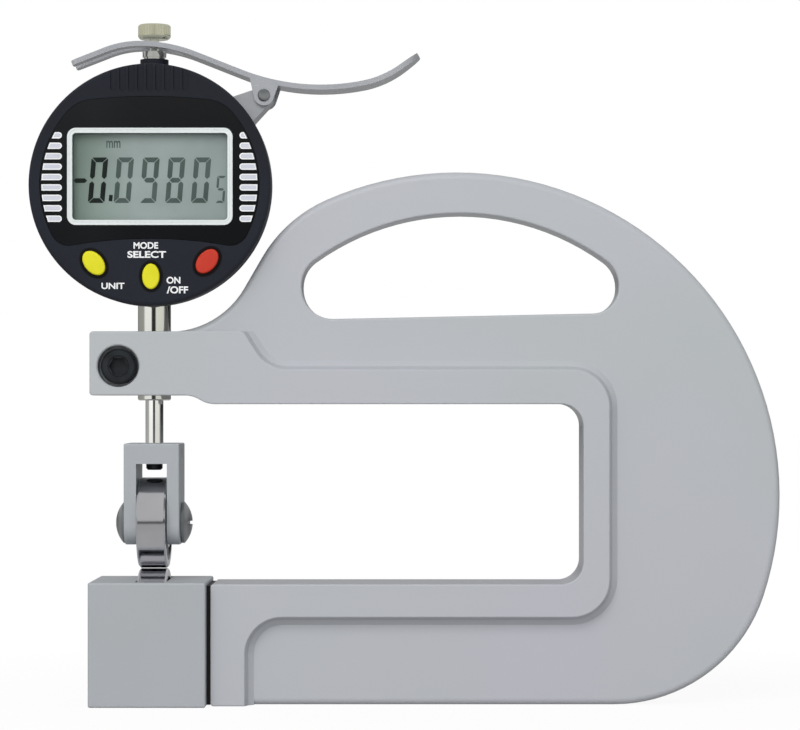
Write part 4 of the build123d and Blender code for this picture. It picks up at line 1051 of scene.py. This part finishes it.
# %% Print the stripes
STRIPE_COUNT = 9
STRIPE_PITCH = 2.49
STRIPE_H = 1.52
STRIPE_INNER = {-1: 20.9, 1: 21.5}  # round ends, from the dial's middle, on the left and the right
STRIPE_MIDDLE = 1.75  # height of the middle stripe
STRIPE_BORDER = 0.26
STRIPE_EDGE = 0.4  # bare black between a stripe and the edge of the plate
ROUND_STEPS = 8
ROUND_SHARE = 0.99  # of half a stripe's height, so that its two round corners never meet
FORWARD = 0.9  # of a print's thickness: only its front lies further forward than this
plate_low, plate_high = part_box("face_plate")
PLATE_R = (plate_high.x - plate_low.x) / 2 / MM
lilac_ink = surface(
    "lilac_screen_print", ("#c9ccd7", "#d0d2dc"), patch=3, grain=0.15, depth=0.003, roughness=0.45
)


def stripe(side, height):
    """One stripe at a height above the dial's middle, on the left (-1) or right (1)."""
    piece = upright_plane()
    reach = PLATE_R - STRIPE_EDGE
    inner = STRIPE_INNER[side]
    for vertex in piece.data.vertices:
        z = height + (STRIPE_H / 2 if vertex.co.z > 0 else -STRIPE_H / 2)
        x = inner if vertex.co.x < 0 else sqrt(reach**2 - z**2)
        vertex.co = Vector((side * x, FACE_FRONT, z)) * MM
    edit(piece, lambda spot: abs(spot.x) < (inner + NEARBY) * MM, "verts")
    bpy.ops.mesh.bevel(offset=STRIPE_H / 2 * ROUND_SHARE * MM, segments=ROUND_STEPS, affect="VERTICES")
    leave()
    slab(piece, PRINT_PROUD)
    for ink in (white_ink, lilac_ink):
        piece.data.materials.append(ink)
    front = (FACE_FRONT - PRINT_PROUD * FORWARD) * MM
    edit(piece, lambda spot: spot.y < front)
    bpy.ops.mesh.inset(thickness=STRIPE_BORDER * MM, depth=0)
    piece.active_material_index = 1
    bpy.ops.object.material_slot_assign()
    leave()
    piece.data.transform(Matrix.Translation(Vector((dial.x, 0, dial.z))))
    return piece


middle_row = (STRIPE_COUNT - 1) / 2
heights = [STRIPE_MIDDLE + (row - middle_row) * STRIPE_PITCH for row in range(STRIPE_COUNT)]
for side, label in ((-1, "left"), (1, "right")):
    printed = join([stripe(side, height) for height in heights], f"face_stripes_{label}")
    fix(printed, "root", [])

# %% [markdown]
# ## Painted shadow rings round the buttons
# A thin black ring lies round each button over the gap to the case. Its black is painted shadow, the shade
# of that gap, so that a button reads as a bright oval in a dark ring. Each ring is a disc, drawn out to the
# oval, whose middle is cut away after an inset. The buttons pass through with a little air.

# %% Cut the painted shadow rings
SHADOW_RING_OUT = 0.8  # width of a painted shadow ring beyond the button's own outline
SHADOW_RING_AIR = 0.03  # between a painted shadow ring and its button
SHADOW_RING_STEPS = 64
BUTTON_OVALS = {  # half of each button's length and width, and its lean in degrees
    "button_left": (3.3, 2.25, -50.0),
    "button_middle": (2.08, 3.05, 0.0),
    "button_right": (3.3, 2.25, 50.0),
}


def shadow_ring(node, half_long, half_short, lean):
    """A flat oval ring round a button, its long side turned by lean degrees from X towards Z."""
    bpy.ops.object.select_all(action="DESELECT")
    bpy.ops.mesh.primitive_circle_add(
        vertices=SHADOW_RING_STEPS, radius=MM, fill_type="NGON", rotation=(radians(90), 0, 0)
    )
    piece = bpy.context.object
    bpy.ops.object.transform_apply(location=True, rotation=True, scale=True)
    low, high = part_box(node)
    place = Vector(((low.x + high.x) / 2, FACE_FRONT * MM, (low.z + high.z) / 2))
    drawn = Matrix.Diagonal((half_long + SHADOW_RING_OUT, 1, half_short + SHADOW_RING_OUT, 1))
    piece.data.transform(Matrix.Translation(place) @ Matrix.Rotation(radians(-lean), 4, "Y") @ drawn)
    edit(piece, lambda spot: True)
    bpy.ops.mesh.inset(thickness=(SHADOW_RING_OUT - SHADOW_RING_AIR) * MM, depth=0)
    bpy.ops.mesh.delete(type="FACE")
    leave()
    slab(piece, PRINT_PROUD)
    return piece


shadow_rings = join([shadow_ring(node, *oval) for node, oval in BUTTON_OVALS.items()], "button_shadow_rings")
# The rings' near black is painted shadow: the shade of the gaps between the buttons and the case
shadow_ring_black = surface(
    "black_painted_shadow_ring", ("#020203", "#060607"), patch=2, grain=0.2, depth=0.004, roughness=0.8
)
fix(shadow_rings, "root", [shadow_ring_black])

# %% [markdown]
# ## The return spring
# The plunger's spring is shut in between the spindle and the top bush, and it gets shorter as the spindle
# rises. A copy of the imported coil, with its own mesh, stands for it and stays with the case, and the
# imported coil is hidden.

# %% Copy the spring onto the case
coil = copy_of(frame["nodes"]["return_spring"], "return_spring_coil", Matrix.Identity(4))
fix(coil, "root", [])
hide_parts("return_spring")
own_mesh(coil)
